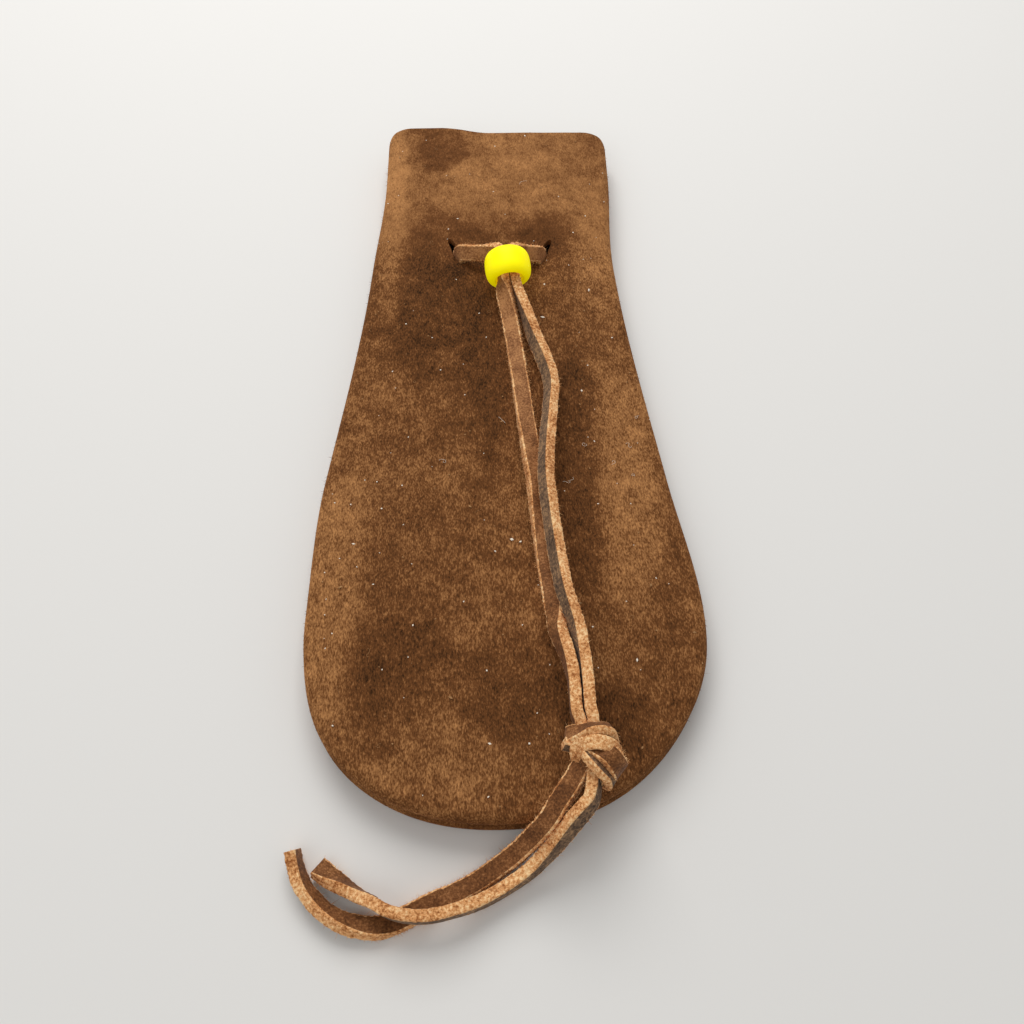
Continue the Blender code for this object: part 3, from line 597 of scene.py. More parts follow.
def leaning_rows(route):
    """Centres and breadth directions of a lace that lies or leans, before they are spaced evenly."""
    rows = smooth_route(route, ROUTE_PARTS)
    found = []
    for i, row in enumerate(rows):
        before, after = rows[max(i - 1, 0)], rows[min(i + 1, len(rows) - 1)]
        heading = Vector((after[0] - before[0], after[1] - before[1])).normalized()
        lean = math.radians(row[3])
        side = Vector((-heading.y, heading.x, 0)) * math.cos(lean) + Vector((0, 0, math.sin(lean)))
        found.append([*bag_point(*row[:3]), *side])
    return np.array(found)


def turning_rows(route, place_of):
    """The same for a lace whose breadth has a direction of its own at each point."""
    rows = smooth_route([(x, y, z, *breadth) for x, y, z, breadth in route], ROUTE_PARTS)
    return np.array([[*place_of(*row[:3]), *row[3:]] for row in rows])


def lace_section(width, thickness, corner):
    """Points round the lace's section, each across it, through it and with the side it is on."""
    u, v = width / 2, thickness / 2
    points = []

    def flat(start, end, count, side):
        for k in range(count):
            t = k / count
            points.append((start[0] + (end[0] - start[0]) * t, start[1] + (end[1] - start[1]) * t, side))

    def arc(cx, cy, first, side):
        for k in range(CORNER_PARTS):
            angle = first + math.radians(90 / CORNER_PARTS) * k
            points.append((cx + corner * math.cos(angle), cy + corner * math.sin(angle), side))

    flat((u, corner - v), (u, v - corner), EDGE_PARTS, "edge")
    arc(u - corner, v - corner, 0, "edge")
    flat((u - corner, v), (corner - u, v), FACE_PARTS, "upper")
    arc(corner - u, v - corner, math.radians(90), "edge")
    flat((-u, v - corner), (-u, corner - v), EDGE_PARTS, "edge")
    arc(corner - u, corner - v, math.radians(180), "edge")
    flat((corner - u, -v), (u - corner, -v), FACE_PARTS, "lower")
    arc(u - corner, corner - v, math.radians(270), "edge")
    return points


def lace_frames(rows):
    """At each section: its centre, and the directions along, across and through the lace."""
    frames = []
    for i, row in enumerate(rows):
        before, after = rows[max(i - 1, 0)], rows[min(i + 1, len(rows) - 1)]
        along = Vector(after[:3] - before[:3]).normalized()
        wide = Vector(row[3:6])
        wide = (wide - along * wide.dot(along)).normalized()
        frames.append((Vector(row[:3]), along, wide, along.cross(wide)))
    return frames


def add_lace(bm, rows, upper_is_grain, look, width=None, thickness=None):
    """A flat lace along rows of centre and breadth, with uneven cut edges, added to a bmesh."""
    section = lace_section(width or look.width, thickness or look.thickness, look.corner)
    upper, lower = ("grain", "flesh") if upper_is_grain else ("flesh", "grain")
    frames = lace_frames(rows)
    rings = []
    for centre, along, wide, thick in frames:
        ring = []
        for u, v, side in section:
            place = centre + wide * u + thick * v
            outward = (wide * u + thick * v).normalized()
            rough = noise.noise(place * per_metre(0.5)) + 0.6 * noise.noise(place * per_metre(0.22))
            drift = noise.noise(place * per_metre(3.5)) * 0.6
            amount = look.fray * (rough + drift)
            place += outward * (amount if side == "edge" else 0.25 * amount)
            place.z = max(place.z, LOWEST)
            ring.append(bm.verts.new(place))
        rings.append(ring)
    count = len(section)
    leather = {"upper": upper, "lower": lower, "edge": "edge"}
    for near, far in zip(rings, rings[1:]):
        for k in range(count):
            j = (k + 1) % count
            face = bm.faces.new((near[k], near[j], far[j], far[k]))
            face.material_index = SIDE_SLOT[leather[section[k][2]]]
    for ring in (rings[0], rings[-1]):
        bm.faces.new(ring).material_index = SIDE_SLOT["edge"]
    return frames


def add_fibre(bm, root, along, length, bend):
    """A loose fibre: a slender closed spike of two stretches that bends a little."""
    side = along.cross(Vector(ASKEW)).normalized()
    other = along.cross(side).normalized()

    def corners(middle, size):
        return [bm.verts.new(middle + (side * math.cos(a) + other * math.sin(a)) * size)
                for a in FIBRE_CORNERS]

    base = corners(root, EDGE_FIBRE)
    waist = corners(root + along * (0.5 * length) + bend * (0.3 * length), 0.7 * EDGE_FIBRE)
    top = bm.verts.new(root + along * length + bend * length)
    faces = [bm.faces.new(base)]
    for k in range(3):
        j = (k + 1) % 3
        faces.append(bm.faces.new((base[k], base[j], waist[j], waist[k])))
        faces.append(bm.faces.new((waist[k], waist[j], top)))
    for face in faces:
        face.material_index = SIDE_SLOT["edge"]


def add_edge_fibres(bm, frames, look, rng, width=None):
    """Loose fibres along both cut edges of a lace."""
    half = (width or look.width) / 2
    run = sum((b[0] - a[0]).length for a, b in zip(frames, frames[1:]))
    for _ in range(int(run / MM * look.fibres_per_mm * 2)):
        centre, along, wide, thick = frames[rng.randrange(len(frames))]
        side = rng.choice((-1, 1))
        through = rng.uniform(-0.42, 0.42) * look.thickness
        root = centre + wide * side * (half - FIBRE_DEPTH) + thick * through
        lean = along * rng.uniform(-0.9, 0.9)
        lean += thick * (through / look.thickness * 1.6 + rng.uniform(-0.5, 0.5))
        outward = (wide * side + lean).normalized()
        length = look.fibre_length * rng.lognormvariate(0.0, 0.45)
        bend = Vector((rng.uniform(-0.3, 0.3), rng.uniform(-0.3, 0.3), rng.uniform(-0.3, 0.2)))
        if (root + outward * length).z >= FIBRE_FLOOR:
            add_fibre(bm, root, outward, length, bend)


def free_lace(name, route, upper_is_grain, seed):
    """A free stretch of the lace, from the bead or the knot to its far end."""
    look = settings().lace
    rows = evenly(leaning_rows(route), look.step)
    bm = bmesh.new()
    frames = add_lace(bm, rows, upper_is_grain, look)
    add_edge_fibres(bm, frames, look, random.Random(seed))
    made = new_lace_piece(name, bm)
    return made


def half_width(y):
    """Half the bag's width at a height above its bottom edge, from the widest place up."""
    sizes = settings().outline
    share = min(max((y - sizes.bulge_height) / sizes.flare_length, 0.0), 1.0)
    wave = 0.5 + 0.5 * math.cos(math.pi * share ** sizes.flare_ease)
    return 0.5 * (sizes.mouth_width + (BAG_WIDTH - sizes.mouth_width) * wave)


def half_outline(step):
    """Points and inward directions of the right half, from the mouth to the bottom's middle."""
    sizes = settings().outline
    probe = 0.01 * MM
    stations = []
    count = int((BAG_LENGTH - sizes.bulge_height) / step)
    for y in np.linspace(BAG_LENGTH, sizes.bulge_height, count + 1):
        slope = (half_width(y + probe) - half_width(y - probe)) / (2 * probe)
        stations.append((Vector((half_width(y), y)), Vector((-1.0, slope)).normalized()))
    power = 2 / sizes.bottom_fullness
    turns = int(0.9 * (sizes.bulge_height + BAG_WIDTH / 2) / step)
    for k in range(1, turns + 1):
        angle = 0.5 * math.pi * k / turns
        c = max(math.cos(angle), 0.0) if k < turns else 0.0
        s = math.sin(angle)
        point = Vector((0.5 * BAG_WIDTH * c ** power, sizes.bulge_height * (1 - s ** power)))
        steep = c ** (power * (sizes.bottom_fullness - 1)) / (0.5 * BAG_WIDTH)
        level = s ** (power * (sizes.bottom_fullness - 1)) / sizes.bulge_height
        stations.append((point, Vector((-steep, level)).normalized()))
    return stations


def whole_outline(step):
    right = half_outline(step)
    left = [(Vector((-p.x, p.y)), Vector((-n.x, n.y))) for p, n in right]
    return left + right[-2::-1]


def smoothstep(value):
    share = min(max(value, 0.0), 1.0)
    return share * share * (3 - 2 * share)


def fold_height():
    """Height of one panel's folded edge: half of what lies under the front panel's lowest place."""
    return FRONT_BOTTOM - SEAM_GAP


def mouth_drop(x, y, depth):
    """How much lower a place near the mouth is: round ends, and an edge cut lower to the right.

    The rows below the edge come down with it, less and less.
    """
    sizes = settings().outline
    corner = sizes.mouth_corner
    left = max(corner - depth, 0.0)
    drop = corner - math.sqrt(corner ** 2 - left ** 2)
    drop += sizes.mouth_cut * smoothstep((x - sizes.mouth_cut_from) / sizes.mouth_cut_reach)
    return drop * max(1 - (BAG_LENGTH - y) / (3 * corner), 0.0)


def sway(y):
    """How far the bag's middle line lies to the right at a height, since it was cut by hand."""
    sizes = settings().outline
    rise = smoothstep((y - sizes.side_sway_low) / sizes.side_sway_ease)
    fall = smoothstep((sizes.side_sway_high - y) / sizes.side_sway_ease)
    foot = smoothstep((sizes.foot_sway_high - y) / sizes.foot_sway_ease)
    return -sizes.side_sway * rise * fall - sizes.foot_sway * foot


def undulation(x, y, side):
    """How far a worn panel dips and lifts, seldom by more than half a millimetre."""
    place = Vector((x * 0.8, y * 0.6, side * 7 * MM))
    slow = noise.noise(place * per_metre(17)) + 0.45 * noise.noise(place * per_metre(7))
    return slow * 0.55 * MM


def near_lace(x, y):
    """1 where the lace crosses from slit to slit, easing to 0 around it."""
    lace, suede = settings().lace, settings().suede
    slit_y = BAG_LENGTH - suede.slit_from_mouth
    across = smoothstep(1 - (abs(y - slit_y) - lace.width / 2 - LACE_CLEARANCE) / BUMP_REACH)
    ends = (suede.slit_spread + lace.thickness) / 2 + 2 * LACE_CLEARANCE
    return across * smoothstep(1 - (abs(x) - ends) / BUMP_SIDE_REACH)


def front_skin(x, y, depth, height):
    """The front swells over its edge, less so at the mouth, and sinks a little under the lace."""
    sizes = settings().outline
    fold = fold_height()
    base = FRONT_BOTTOM + height
    if height < fold / 2:
        return base
    inner = smoothstep((depth - fold / 2) / sizes.crown_reach)
    flatter = (1 - sizes.mouth_crown) * smoothstep(1 - (BAG_LENGTH - y) / sizes.mouth_crown_reach)
    wave = min(undulation(x, y, 1.0), FRONT_WAVE)
    return base + (sizes.crown * (1 - flatter) + wave - FRONT_DIP * near_lace(x, y)) * inner


def back_skin(x, y, depth, height):
    """The back lies on the ground, and rides over the lace where that crosses from slit to slit."""
    fold = fold_height()
    if height < fold / 2:
        return fold - height
    near = near_lace(x, y)
    inner = smoothstep((depth - fold / 2) / BACK_REACH)
    sag = max(undulation(x, y, -1.0), 0.0) * BACK_SAG * inner * (1 - near)
    return fold - height + sag + (settings().lace.thickness + 2 * LACE_CLEARANCE) * near


def nap_tone_and_painted_light(x, y):
    """Tone of the nap at a place in millimetres, from the patches, painted highlight and shadow included."""
    found = 0.0
    for px, py, rx, ry, tone, *edge in NAP_AND_PAINTED_LIGHT_PATCHES:
        soft = edge[0] if edge else PATCH_EDGE
        wobble = 0.35 * noise.noise(Vector((x / 5, y / 5, px)))
        away = math.hypot((x - px) / rx, (y - py) / ry) + wobble
        found += tone * smoothstep((1 + 0.5 * soft - away) / soft)
    return found


def fold_section(radius, offset, allowance):
    """A panel's section from its middle line outward and round its fold, at an offset inside it.

    The plate's rows are shares of the way to the middle line, the others depth and height.
    """
    turn = radius - offset
    line = [("plate", k / PLATE_ROWS) for k in range(PLATE_ROWS - 1, 0, -1)]
    for k in range(FOLD_ROWS + 1):
        angle = math.pi * k / FOLD_ROWS
        line.append((radius - turn * math.sin(angle), radius + turn * math.cos(angle)))
    for k in range(1, ALLOWANCE_ROWS + 1):
        line.append((radius + allowance * k / ALLOWANCE_ROWS, offset))
    return line


def panel_shell(name, skin_of, material, node):
    """One suede panel: plate, rolled seam edge and turned allowance, as one closed sheet."""
    suede = settings().suede
    fold = fold_height()
    radius = fold / 2
    stations = whole_outline(PANEL_SPACING)
    bulge = settings().outline.bulge_height
    bm = bmesh.new()
    skins = []
    for offset in (0.0, suede.thickness):
        line = fold_section(radius, offset, suede.seam_allowance)
        middle = {}
        rows = []
        for point, inward in stations:
            spine_y = point.y - inward.y * point.x / inward.x if point.y > bulge else bulge
            key = round(max(spine_y, bulge), 7)
            spine = Vector((0.0, key))
            reach = (spine - point).length
            if key not in middle:
                y = key - mouth_drop(0.0, key, reach) - BAG_LENGTH / 2
                middle[key] = bm.verts.new((sway(key), y, skin_of(0.0, key, reach, fold - offset)))
            row = [middle[key]]
            for depth, height in line:
                if depth == "plate":
                    depth = radius + (reach - radius) * height ** PLATE_EASE
                    height = fold - offset
                place = point + inward * depth if depth <= radius else point.lerp(spine, depth / reach)
                if height <= radius and depth > radius:
                    place = point + inward * depth
                x = place.x + sway(place.y)
                y = place.y - mouth_drop(place.x, place.y, depth)
                row.append(bm.verts.new((x, y - BAG_LENGTH / 2, skin_of(x, place.y, depth, height))))
            rows.append(row)
        skins.append(rows)
        for near, far in zip(rows, rows[1:]):
            for k in range(len(near) - 1):
                bm.faces.new(list(dict.fromkeys([near[k], far[k], far[k + 1], near[k + 1]])))
    outer, inner = skins
    for i in range(len(stations) - 1):
        bm.faces.new((outer[i][-1], outer[i + 1][-1], inner[i + 1][-1], inner[i][-1]))
    for end in (0, -1):
        for k in range(len(outer[0]) - 1):
            bm.faces.new((outer[end][k], outer[end][k + 1], inner[end][k + 1], inner[end][k]))
    made = new_piece(name, bm, [material])
    cut_slits(made)
    add_nap_tone_and_painted_light(made)
    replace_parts(made, node)


def nap_crisp(y):
    """How crisp the nap's grain is at a height in millimetres, since the neck is worn smoother."""
    low, high, below, above = SMOOTH_NAP
    return below + (above - below) * smoothstep((y - low) / (high - low))


def write_values(piece, name, values):
    """One value for each point of a piece, for its material."""
    made = piece.data.attributes.new(name, "FLOAT", "POINT")
    made.data.foreach_set("value", np.array(values, dtype=np.float32))


def add_nap_tone_and_painted_light(piece):
    """Writes the nap's tone, with its painted highlight and shadow, and its crispness to each point of a
    piece.
    """
    places = [(v.co.x / MM, (v.co.y + BAG_LENGTH / 2) / MM) for v in piece.data.vertices]
    write_values(piece, "nap_tone_and_painted_light", [nap_tone_and_painted_light(x, y) for x, y in places])
    write_values(piece, "nap_crisp", [nap_crisp(y) for _, y in places])


def cut_slits(piece):
    """Two leaning slits, held open by the lace and narrower above it, cut through a panel."""
    suede = settings().suede
    bm = bmesh.new()
    for side in (-1, 1):
        middle = Vector((suede.slit_shift + side * suede.slit_spread / 2,
                         BAG_LENGTH / 2 - suede.slit_from_mouth - max(side, 0) * suede.slit_drop))
        up = Vector((side * math.sin(suede.slit_lean), math.cos(suede.slit_lean)))
        over = Vector((up.y, -up.x))
        ring = []
        for edge, form in ((1, SLIT_FORM), (-1, SLIT_FORM[::-1])):
            for along, gape in form:
                out = over * edge * gape * suede.slit_width / 2
                ring.append(middle + up * (along - 0.5) * suede.slit_length + out)
        low = [bm.verts.new((p.x, p.y, CUT_FROM)) for p in ring]
        high = [bm.verts.new((p.x, p.y, CUT_TO)) for p in ring]
        bm.faces.new(low)
        bm.faces.new(high)
        for i in range(len(ring)):
            j = (i + 1) % len(ring)
            bm.faces.new((low[i], low[j], high[j], high[i]))
    bmesh.ops.recalc_face_normals(bm, faces=bm.faces)
    cutter = add_object("slit_cutter", mesh_of("slit_cutter", bm))
    step = piece.modifiers.new("slits", "BOOLEAN")
    step.operation = "DIFFERENCE"
    step.solver = "EXACT"
    step.object = cutter
    graph = bpy.context.evaluated_depsgraph_get()
    cut = bpy.data.meshes.new_from_object(piece.evaluated_get(graph))
    piece.modifiers.clear()
    piece.data = cut
    bpy.data.objects.remove(cutter, do_unlink=True)


def knot_point(x, y, z):
    """A place given in millimetres from the knot's middle, in the part's frame."""
    return bag_point(*KNOT_MIDDLE) + Vector((x, y, z)) * MM


def add_core(bm, half_sizes):
    """What is inside the knot, where the gaps between the turns would let light through."""
    made = bmesh.ops.create_icosphere(bm, subdivisions=3, radius=1.0)
    for vertex in made["verts"]:
        vertex.co = knot_point(*[c * size for c, size in zip(vertex.co, half_sizes)])
        for face in vertex.link_faces:
            face.material_index = SIDE_SLOT["grain"]


def needles(roots, ways, lengths, breadths):
    """Points and faces of slender closed spikes with three sides."""
    ways = ways / np.linalg.norm(ways, axis=1, keepdims=True)
    side = np.cross(ways, np.array(ASKEW))
    side = side / np.linalg.norm(side, axis=1, keepdims=True)
    other = np.cross(ways, side)
    corners = [roots + (side * math.cos(a) + other * math.sin(a)) * breadths[:, None]
               for a in FIBRE_CORNERS]
    points = np.stack((*corners, roots + ways * lengths[:, None]), axis=1).reshape(-1, 3)
    first = 4 * np.arange(len(roots))[:, None]
    faces = np.concatenate([first + np.array(face) for face in ((0, 2, 1), (0, 1, 3), (1, 2, 3), (2, 0, 3))])
    return points, faces


def surface_of(piece):
    mesh = piece.data
    return BVHTree.FromPolygons([v.co for v in mesh.vertices], [tuple(p.vertices) for p in mesh.polygons])


def below(tree, x, y):
    """What lies under a place, seen from above the bag: a point and the way the surface faces."""
    return tree.ray_cast(Vector((x, y, LOOK_DOWN_FROM)), Vector((0, 0, -1)))[:2]


def places_on(tree, rng, count, margin=0.0):
    """Random places on the upper side of a piece: its points and the way the surface faces there."""
    found = []
    while len(found) < count:
        x = rng.uniform(PANEL_LOW.x + margin, PANEL_HIGH.x - margin)
        y = rng.uniform(PANEL_LOW.y + margin, PANEL_HIGH.y - margin)
        place, normal = below(tree, x, y)
        if place is not None and place.z > FRONT_BOTTOM + TOP_SIDE:
            found.append((place, normal))
    return found


def add_speck(bm, place, normal, rng):
    """One lint speck: a small closed form with eight faces."""
    size = SPECK_SIZE * MM * rng.lognormvariate(0.0, 0.3)
    turn = rng.uniform(0, math.pi)
    flat = Vector((math.cos(turn), math.sin(turn), 0)) * size * rng.uniform(1.0, 2.2)
    other = Vector((-math.sin(turn), math.cos(turn), 0)) * size
    middle = place + normal * 0.6 * size
    ring = [bm.verts.new(middle + arm * rng.uniform(0.7, 1.2)) for arm in (flat, other, -flat, -other)]
    top = bm.verts.new(middle + normal * size * 0.7)
    low = bm.verts.new(middle - normal * size * 0.7)
    slot = 0 if rng.random() < 0.55 else 1
    for near, far in zip(ring, ring[1:] + ring[:1]):
        for corners in ((near, far, top), (far, near, low)):
            bm.faces.new(corners).material_index = slot


def add_curl(bm, tree, place, rng):
    """One curled lint fibre that lies on the surface: a fine closed tube with four sides."""
    steps = rng.randint(9, 16)
    heading, bend = rng.uniform(0, 2 * math.pi), rng.uniform(-0.5, 0.5)
    slot = 0 if rng.random() < 0.3 else 1
    spot = place.copy()
    rings = []
    for _ in range(steps):
        under, _ = below(tree, spot.x, spot.y)
        ground = under.z if under is not None else spot.z
        centre = Vector((spot.x, spot.y, ground + 0.09 * MM + 0.08 * MM * rng.random()))
        side = Vector((-math.sin(heading), math.cos(heading), 0))
        up = Vector((0, 0, 1))
        rings.append([bm.verts.new(centre + (side * math.cos(a) + up * math.sin(a)) * CURL_RADIUS)
                      for a in (0, math.pi / 2, math.pi, 1.5 * math.pi)])
        spot += Vector((math.cos(heading), math.sin(heading), 0)) * CURL_STEP
        bend = max(min(bend + rng.gauss(0, 0.25), 0.8), -0.8)
        heading += bend
    faces = [bm.faces.new(rings[0]), bm.faces.new(rings[-1])]
    for near, far in zip(rings, rings[1:]):
        for k in range(4):
            faces.append(bm.faces.new((near[k], near[(k + 1) % 4], far[(k + 1) % 4], far[k])))
    for face in faces:
        face.material_index = slot


def bead_profile(look):
    """The bead's section as pairs of radius and place along the hole: outside, then the bore."""
    half, power = look.length / 2, 2 / look.fullness
    lip, rim = look.lip / 2, (look.diameter - look.lip) / 2
    profile = []
    for step in range(BEAD_STEPS + 1):
        angle = math.pi * (step / BEAD_STEPS - 0.5)
        reach = math.copysign(abs(math.sin(angle)) ** power, math.sin(angle))
        out = rim * abs(math.cos(angle)) ** power if 0 < step < BEAD_STEPS else 0.0
        profile.append((lip + out, half * reach))
    flare = []
    for step in range(1, BEAD_FLARE_STEPS + 1):
        angle = 0.5 * math.pi * step / BEAD_FLARE_STEPS
        radius = lip - (lip - look.bore / 2) * math.sin(angle)
        flare.append((radius, half - look.flare * (1 - math.cos(angle))))
    return profile + flare + [(radius, -z) for radius, z in reversed(flare)]


class MEDBAG_OT_stage(bpy.types.Operator):
    """Make the camera, the lamps and the pale floor"""
    bl_idname = "medicine_bag.stage"
    bl_label = "Stage"

    def execute(self, context):
        stage = settings().stage
        camera = add_object("camera", bpy.data.cameras.new("camera"))
        camera.data.lens = stage.lens
        camera.data.sensor_width = SENSOR_WIDTH
        camera.data.clip_start = 0.01
        camera.location = (CAMERA_X, CAMERA_Y, stage.camera_height)
        camera.rotation_euler = (math.radians(90) - stage.camera_pitch, 0, stage.camera_turn)
        context.scene.camera = camera
        for name, (place, size, power) in LAMPS.items():
            lamp = add_object(name, bpy.data.lights.new(name, "AREA"))
            lamp.data.shape = "SQUARE"
            lamp.data.size = size
            lamp.data.energy = power
            lamp.location = place
            lamp.rotation_euler = Vector(place).to_track_quat("Z", "Y").to_euler()
        world = bpy.data.worlds.new("pale_room")
        context.scene.world = world
        world.use_nodes = True
        sky = world.node_tree.nodes["Background"]
        sky.inputs["Color"].default_value = linear("#FFFFFF")
        sky.inputs["Strength"].default_value = ROOM_LIGHT
        context.scene.view_settings.view_transform = "Standard"
        bm = bmesh.new()
        bmesh.ops.create_grid(bm, x_segments=1, y_segments=1, size=FLOOR_HALF)
        floor = add_object("floor", mesh_of("floor", bm))
        made, _, shader = new_material("pale_floor", 0.8)
        shader.inputs["Base Color"].default_value = linear("#E6E4E0")
        floor.data.materials.append(made)
        return {"FINISHED"}


class MEDBAG_OT_lace(bpy.types.Operator):
    """Make the lace: its loop through the slits, the two strands and the two tails"""
    bl_idname = "medicine_bag.lace"
    bl_label = "Lace"

    def execute(self, context):
        look = settings().lace
        rows = evenly(turning_rows(LOOP_LEFT + LOOP_RIGHT, bag_point), look.step)
        bm = bmesh.new()
        frames = add_lace(bm, rows, False, look)
        add_edge_fibres(bm, frames, look, random.Random(LOOP_SEED))
        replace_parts(new_lace_piece("lace_loop_strip", bm), "lace_loop")
        # For each free stretch: its node, route, whether its grain side is up, seed and far end.
        stretches = [
            ("lace_strand_left", STRAND_LEFT + LEFT_END, True, 21, "knot"),
            ("lace_strand_right", STRAND_RIGHT + RIGHT_END, False, 22, "knot"),
            ("lace_tail_left", TAIL_LEFT_ROOT + TAIL_LEFT, True, 23, "bare"),
            ("lace_tail_right", TAIL_RIGHT_ROOT + TAIL_RIGHT, True, 24, "bare"),
        ]
        for node, route, upper_is_grain, seed, far_end in stretches:
            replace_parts(free_lace(node + "_strip", route, upper_is_grain, seed), node)
        return {"FINISHED"}


class MEDBAG_OT_knot(bpy.types.Operator):
    """Make the knot: the lace's turns over a small core"""
    bl_idname = "medicine_bag.knot"
    bl_label = "Knot"

    def execute(self, context):
        look = settings().lace
        bm = bmesh.new()
        add_core(bm, KNOT_CORE)
        made = [new_lace_piece("knot_core", bm)]
        for seed, (name, (route, grain_out, width, thickness)) in enumerate(KNOT_TURNS.items(), KNOT_SEED):
            bm = bmesh.new()
            rows = evenly(turning_rows(route, knot_point), look.step)
            frames = add_lace(bm, rows, grain_out, look, width, thickness)
            add_edge_fibres(bm, frames, look, random.Random(seed), width)
            made.append(new_lace_piece("knot_" + name, bm))
        for piece in made:
            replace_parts(piece, "knot")
        return {"FINISHED"}


class MEDBAG_OT_panels(bpy.types.Operator):
    """Make the front and the back panel"""
    bl_idname = "medicine_bag.panels"
    bl_label = "Suede panels"

    def execute(self, context):
        panel_shell("front_panel_suede", front_skin, "buffed_split_suede",
                    "front_panel")
        # The back panel's suede is darkened as painted shade.
        panel_shell("back_panel_suede", back_skin, "buffed_split_suede_back_painted_shade",
                    "back_panel")
        return {"FINISHED"}


class MEDBAG_OT_stitches(bpy.types.Operator):
    """Make the seam stitches that join the two folded edges"""
    bl_idname = "medicine_bag.stitches"
    bl_label = "Seam stitches"

    def execute(self, context):
        suede = settings().suede
        line = whole_outline(suede.stitch_spacing)
        bm = bmesh.new()
        for point, inward in line[2:-2]:
            place = point + inward * suede.stitch_inset
            x = place.x + sway(place.y)
            middle = Vector((x, place.y - BAG_LENGTH / 2, FRONT_BOTTOM - SEAM_GAP / 2))
            bmesh.ops.create_cone(
                bm, cap_ends=True, segments=10, radius1=suede.thread_diameter / 2,
                radius2=suede.thread_diameter / 2, depth=suede.thickness,
                matrix=Matrix.Translation(middle))
        new_piece("seam_stitches", bm, ["waxed_seam_thread"])
        return {"FINISHED"}


class MEDBAG_OT_nap(bpy.types.Operator):
    """Make the loose nap fibres on the front panel"""
    bl_idname = "medicine_bag.nap"
    bl_label = "Nap fibres"

    def execute(self, context):
        look = settings().lint
        rng = random.Random(NAP_SEED)
        found = places_on(surface_of(bpy.data.objects["front_panel_suede"]), rng, look.nap_fibres)
        ways, tones, crisps = [], [], []
        for place, normal in found:
            swirl = noise.noise(place * per_metre(9)) * 2.6 + rng.gauss(0.0, 0.75)
            flat = Vector((math.sin(swirl), -math.cos(swirl), 0.0))
            ways.append(flat + normal * rng.uniform(0.25, 0.8))
            height = (place.y + BAG_LENGTH / 2) / MM
            crisps.append(nap_crisp(height))
            # Each fibre takes the tone of the patches under it, painted highlight and shadow included.
            tones.append(nap_tone_and_painted_light(place.x / MM, height) + rng.gauss(0.05, 0.36) * crisps[-1])
        lengths = np.array([look.nap_length * rng.lognormvariate(0.0, 0.4) for _ in found])
        roots = np.array([place - normal * NAP_ROOT * MM for place, normal in found])
        points, faces = needles(roots, np.array(ways), lengths, np.full(len(found), NAP_FIBRE))
        mesh = bpy.data.meshes.new("front_nap_fibres")
        mesh.from_pydata(points.tolist(), [], faces.tolist())
        made = add_piece(mesh, ["buffed_split_suede"])
        write_values(made, "nap_tone_and_painted_light", np.repeat(tones, 4))
        write_values(made, "nap_crisp", np.repeat(crisps, 4))
        return {"FINISHED"}


class MEDBAG_OT_lint(bpy.types.Operator):
    """Make the lint specks and the curled fibres on the front panel"""
    bl_idname = "medicine_bag.lint"
    bl_label = "Lint"

    def execute(self, context):
        look = settings().lint
        rng = random.Random(LINT_SEED)
        tree = surface_of(bpy.data.objects["front_panel_suede"])
        bm = bmesh.new()
        for place, normal in places_on(tree, rng, look.specks, SPECK_MARGIN):
            add_speck(bm, place, normal, rng)
        for place, _ in places_on(tree, rng, look.curls, CURL_MARGIN):
            add_curl(bm, tree, place, rng)
        new_piece("front_lint", bm, ["white_lint", "tan_lint"], smooth_angle=80)
        return {"FINISHED"}


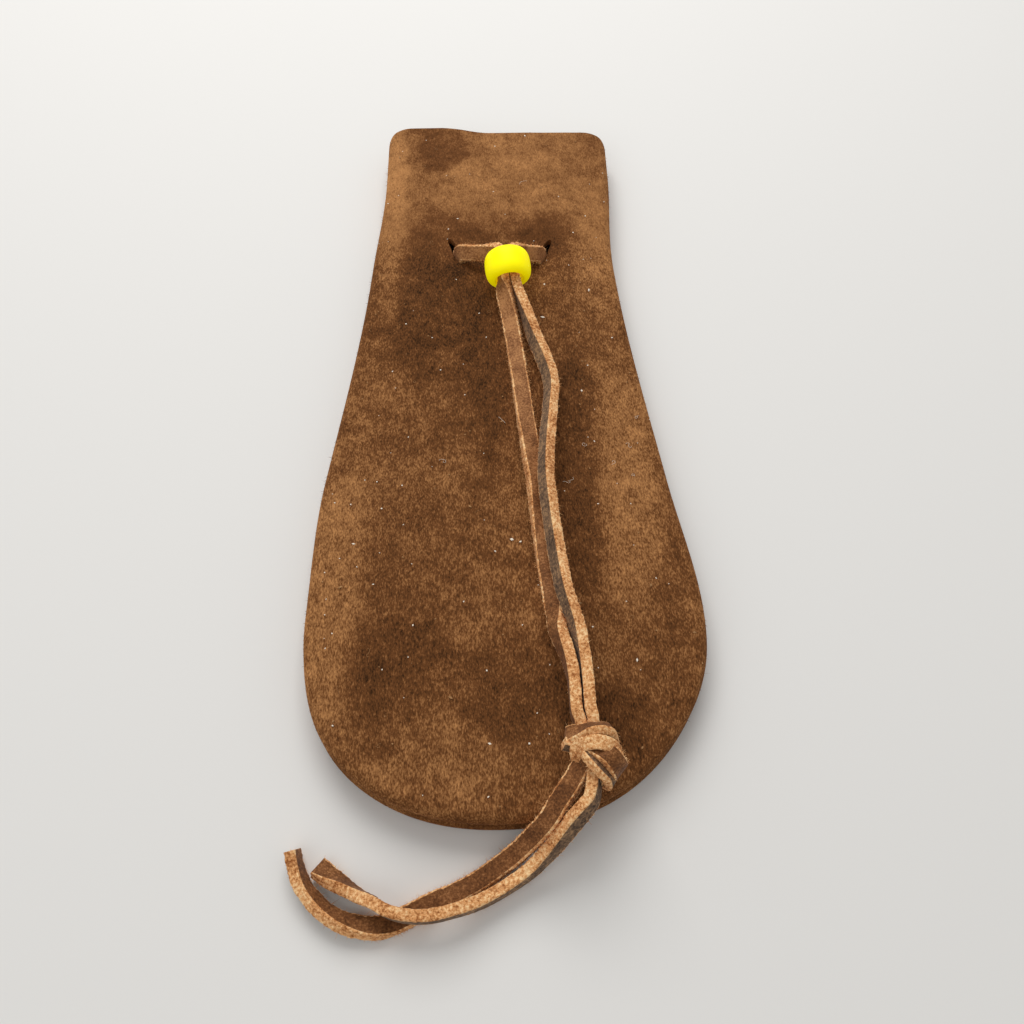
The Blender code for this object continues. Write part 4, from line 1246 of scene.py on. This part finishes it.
class MEDBAG_OT_bead(bpy.types.Operator):
    """Make the barrel bead"""
    bl_idname = "medicine_bag.bead"
    bl_label = "Bead"

    def execute(self, context):
        look = settings().bead
        profile = bead_profile(look)
        bm = bmesh.new()
        rings = []
        middle = (BEAD_LOW + BEAD_HIGH) / 2 + Vector((0, 0, look.lift))
        level = Vector((math.sin(look.turn), -math.cos(look.turn), 0))
        axis = level * math.cos(look.pitch) - Vector((0, 0, math.sin(look.pitch)))
        across = Vector((math.cos(look.turn), math.sin(look.turn), 0))
        up = axis.cross(across)
        for step in range(BEAD_TURNS):
            angle = 2 * math.pi * step / BEAD_TURNS
            outward = across * math.cos(angle) + up * math.sin(angle)
            rings.append([bm.verts.new(middle + outward * r + axis * z) for r, z in profile])
        for near, far in zip(rings, rings[1:] + rings[:1]):
            for k in range(len(profile)):
                j = (k + 1) % len(profile)
                bm.faces.new((near[k], far[k], far[j], near[j]))
        made = new_piece("barrel_bead", bm, ["yellow_polystyrene_with_painted_glow"], "bead")
        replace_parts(made, "bead")
        return {"FINISHED"}


class MEDBAG_PT_panel(bpy.types.Panel):
    """The operators in the order in which they run"""
    bl_idname = "MEDBAG_PT_panel"
    bl_label = "Medicine bag"
    bl_space_type = "VIEW_3D"
    bl_region_type = "UI"
    bl_category = "Medicine bag"

    def draw(self, context):
        for operator in OPERATORS:
            self.layout.operator(operator.bl_idname)
        for name in GROUPS:
            box = self.layout.box()
            box.label(text=name)
            group = getattr(settings(), name)
            for prop in group.bl_rna.properties:
                if prop.identifier not in ("name", "rna_type"):
                    box.prop(group, prop.identifier)


OPERATORS = [MEDBAG_OT_stage, MEDBAG_OT_lace, MEDBAG_OT_knot, MEDBAG_OT_panels, MEDBAG_OT_stitches,
             MEDBAG_OT_nap, MEDBAG_OT_lint, MEDBAG_OT_bead]
CLASSES = [*GROUPS.values(), BagSettings, *OPERATORS, MEDBAG_PT_panel]


def register():
    for item in CLASSES:
        bpy.utils.register_class(item)
    bpy.types.Scene.medicine_bag = PointerProperty(type=BagSettings)


def unregister():
    del bpy.types.Scene.medicine_bag
    for item in reversed(CLASSES):
        bpy.utils.unregister_class(item)


def main():
    register()
    for operator in OPERATORS:
        group, name = operator.bl_idname.split(".")
        getattr(getattr(bpy.ops, group), name)()


if __name__ == "__main__":
    main()
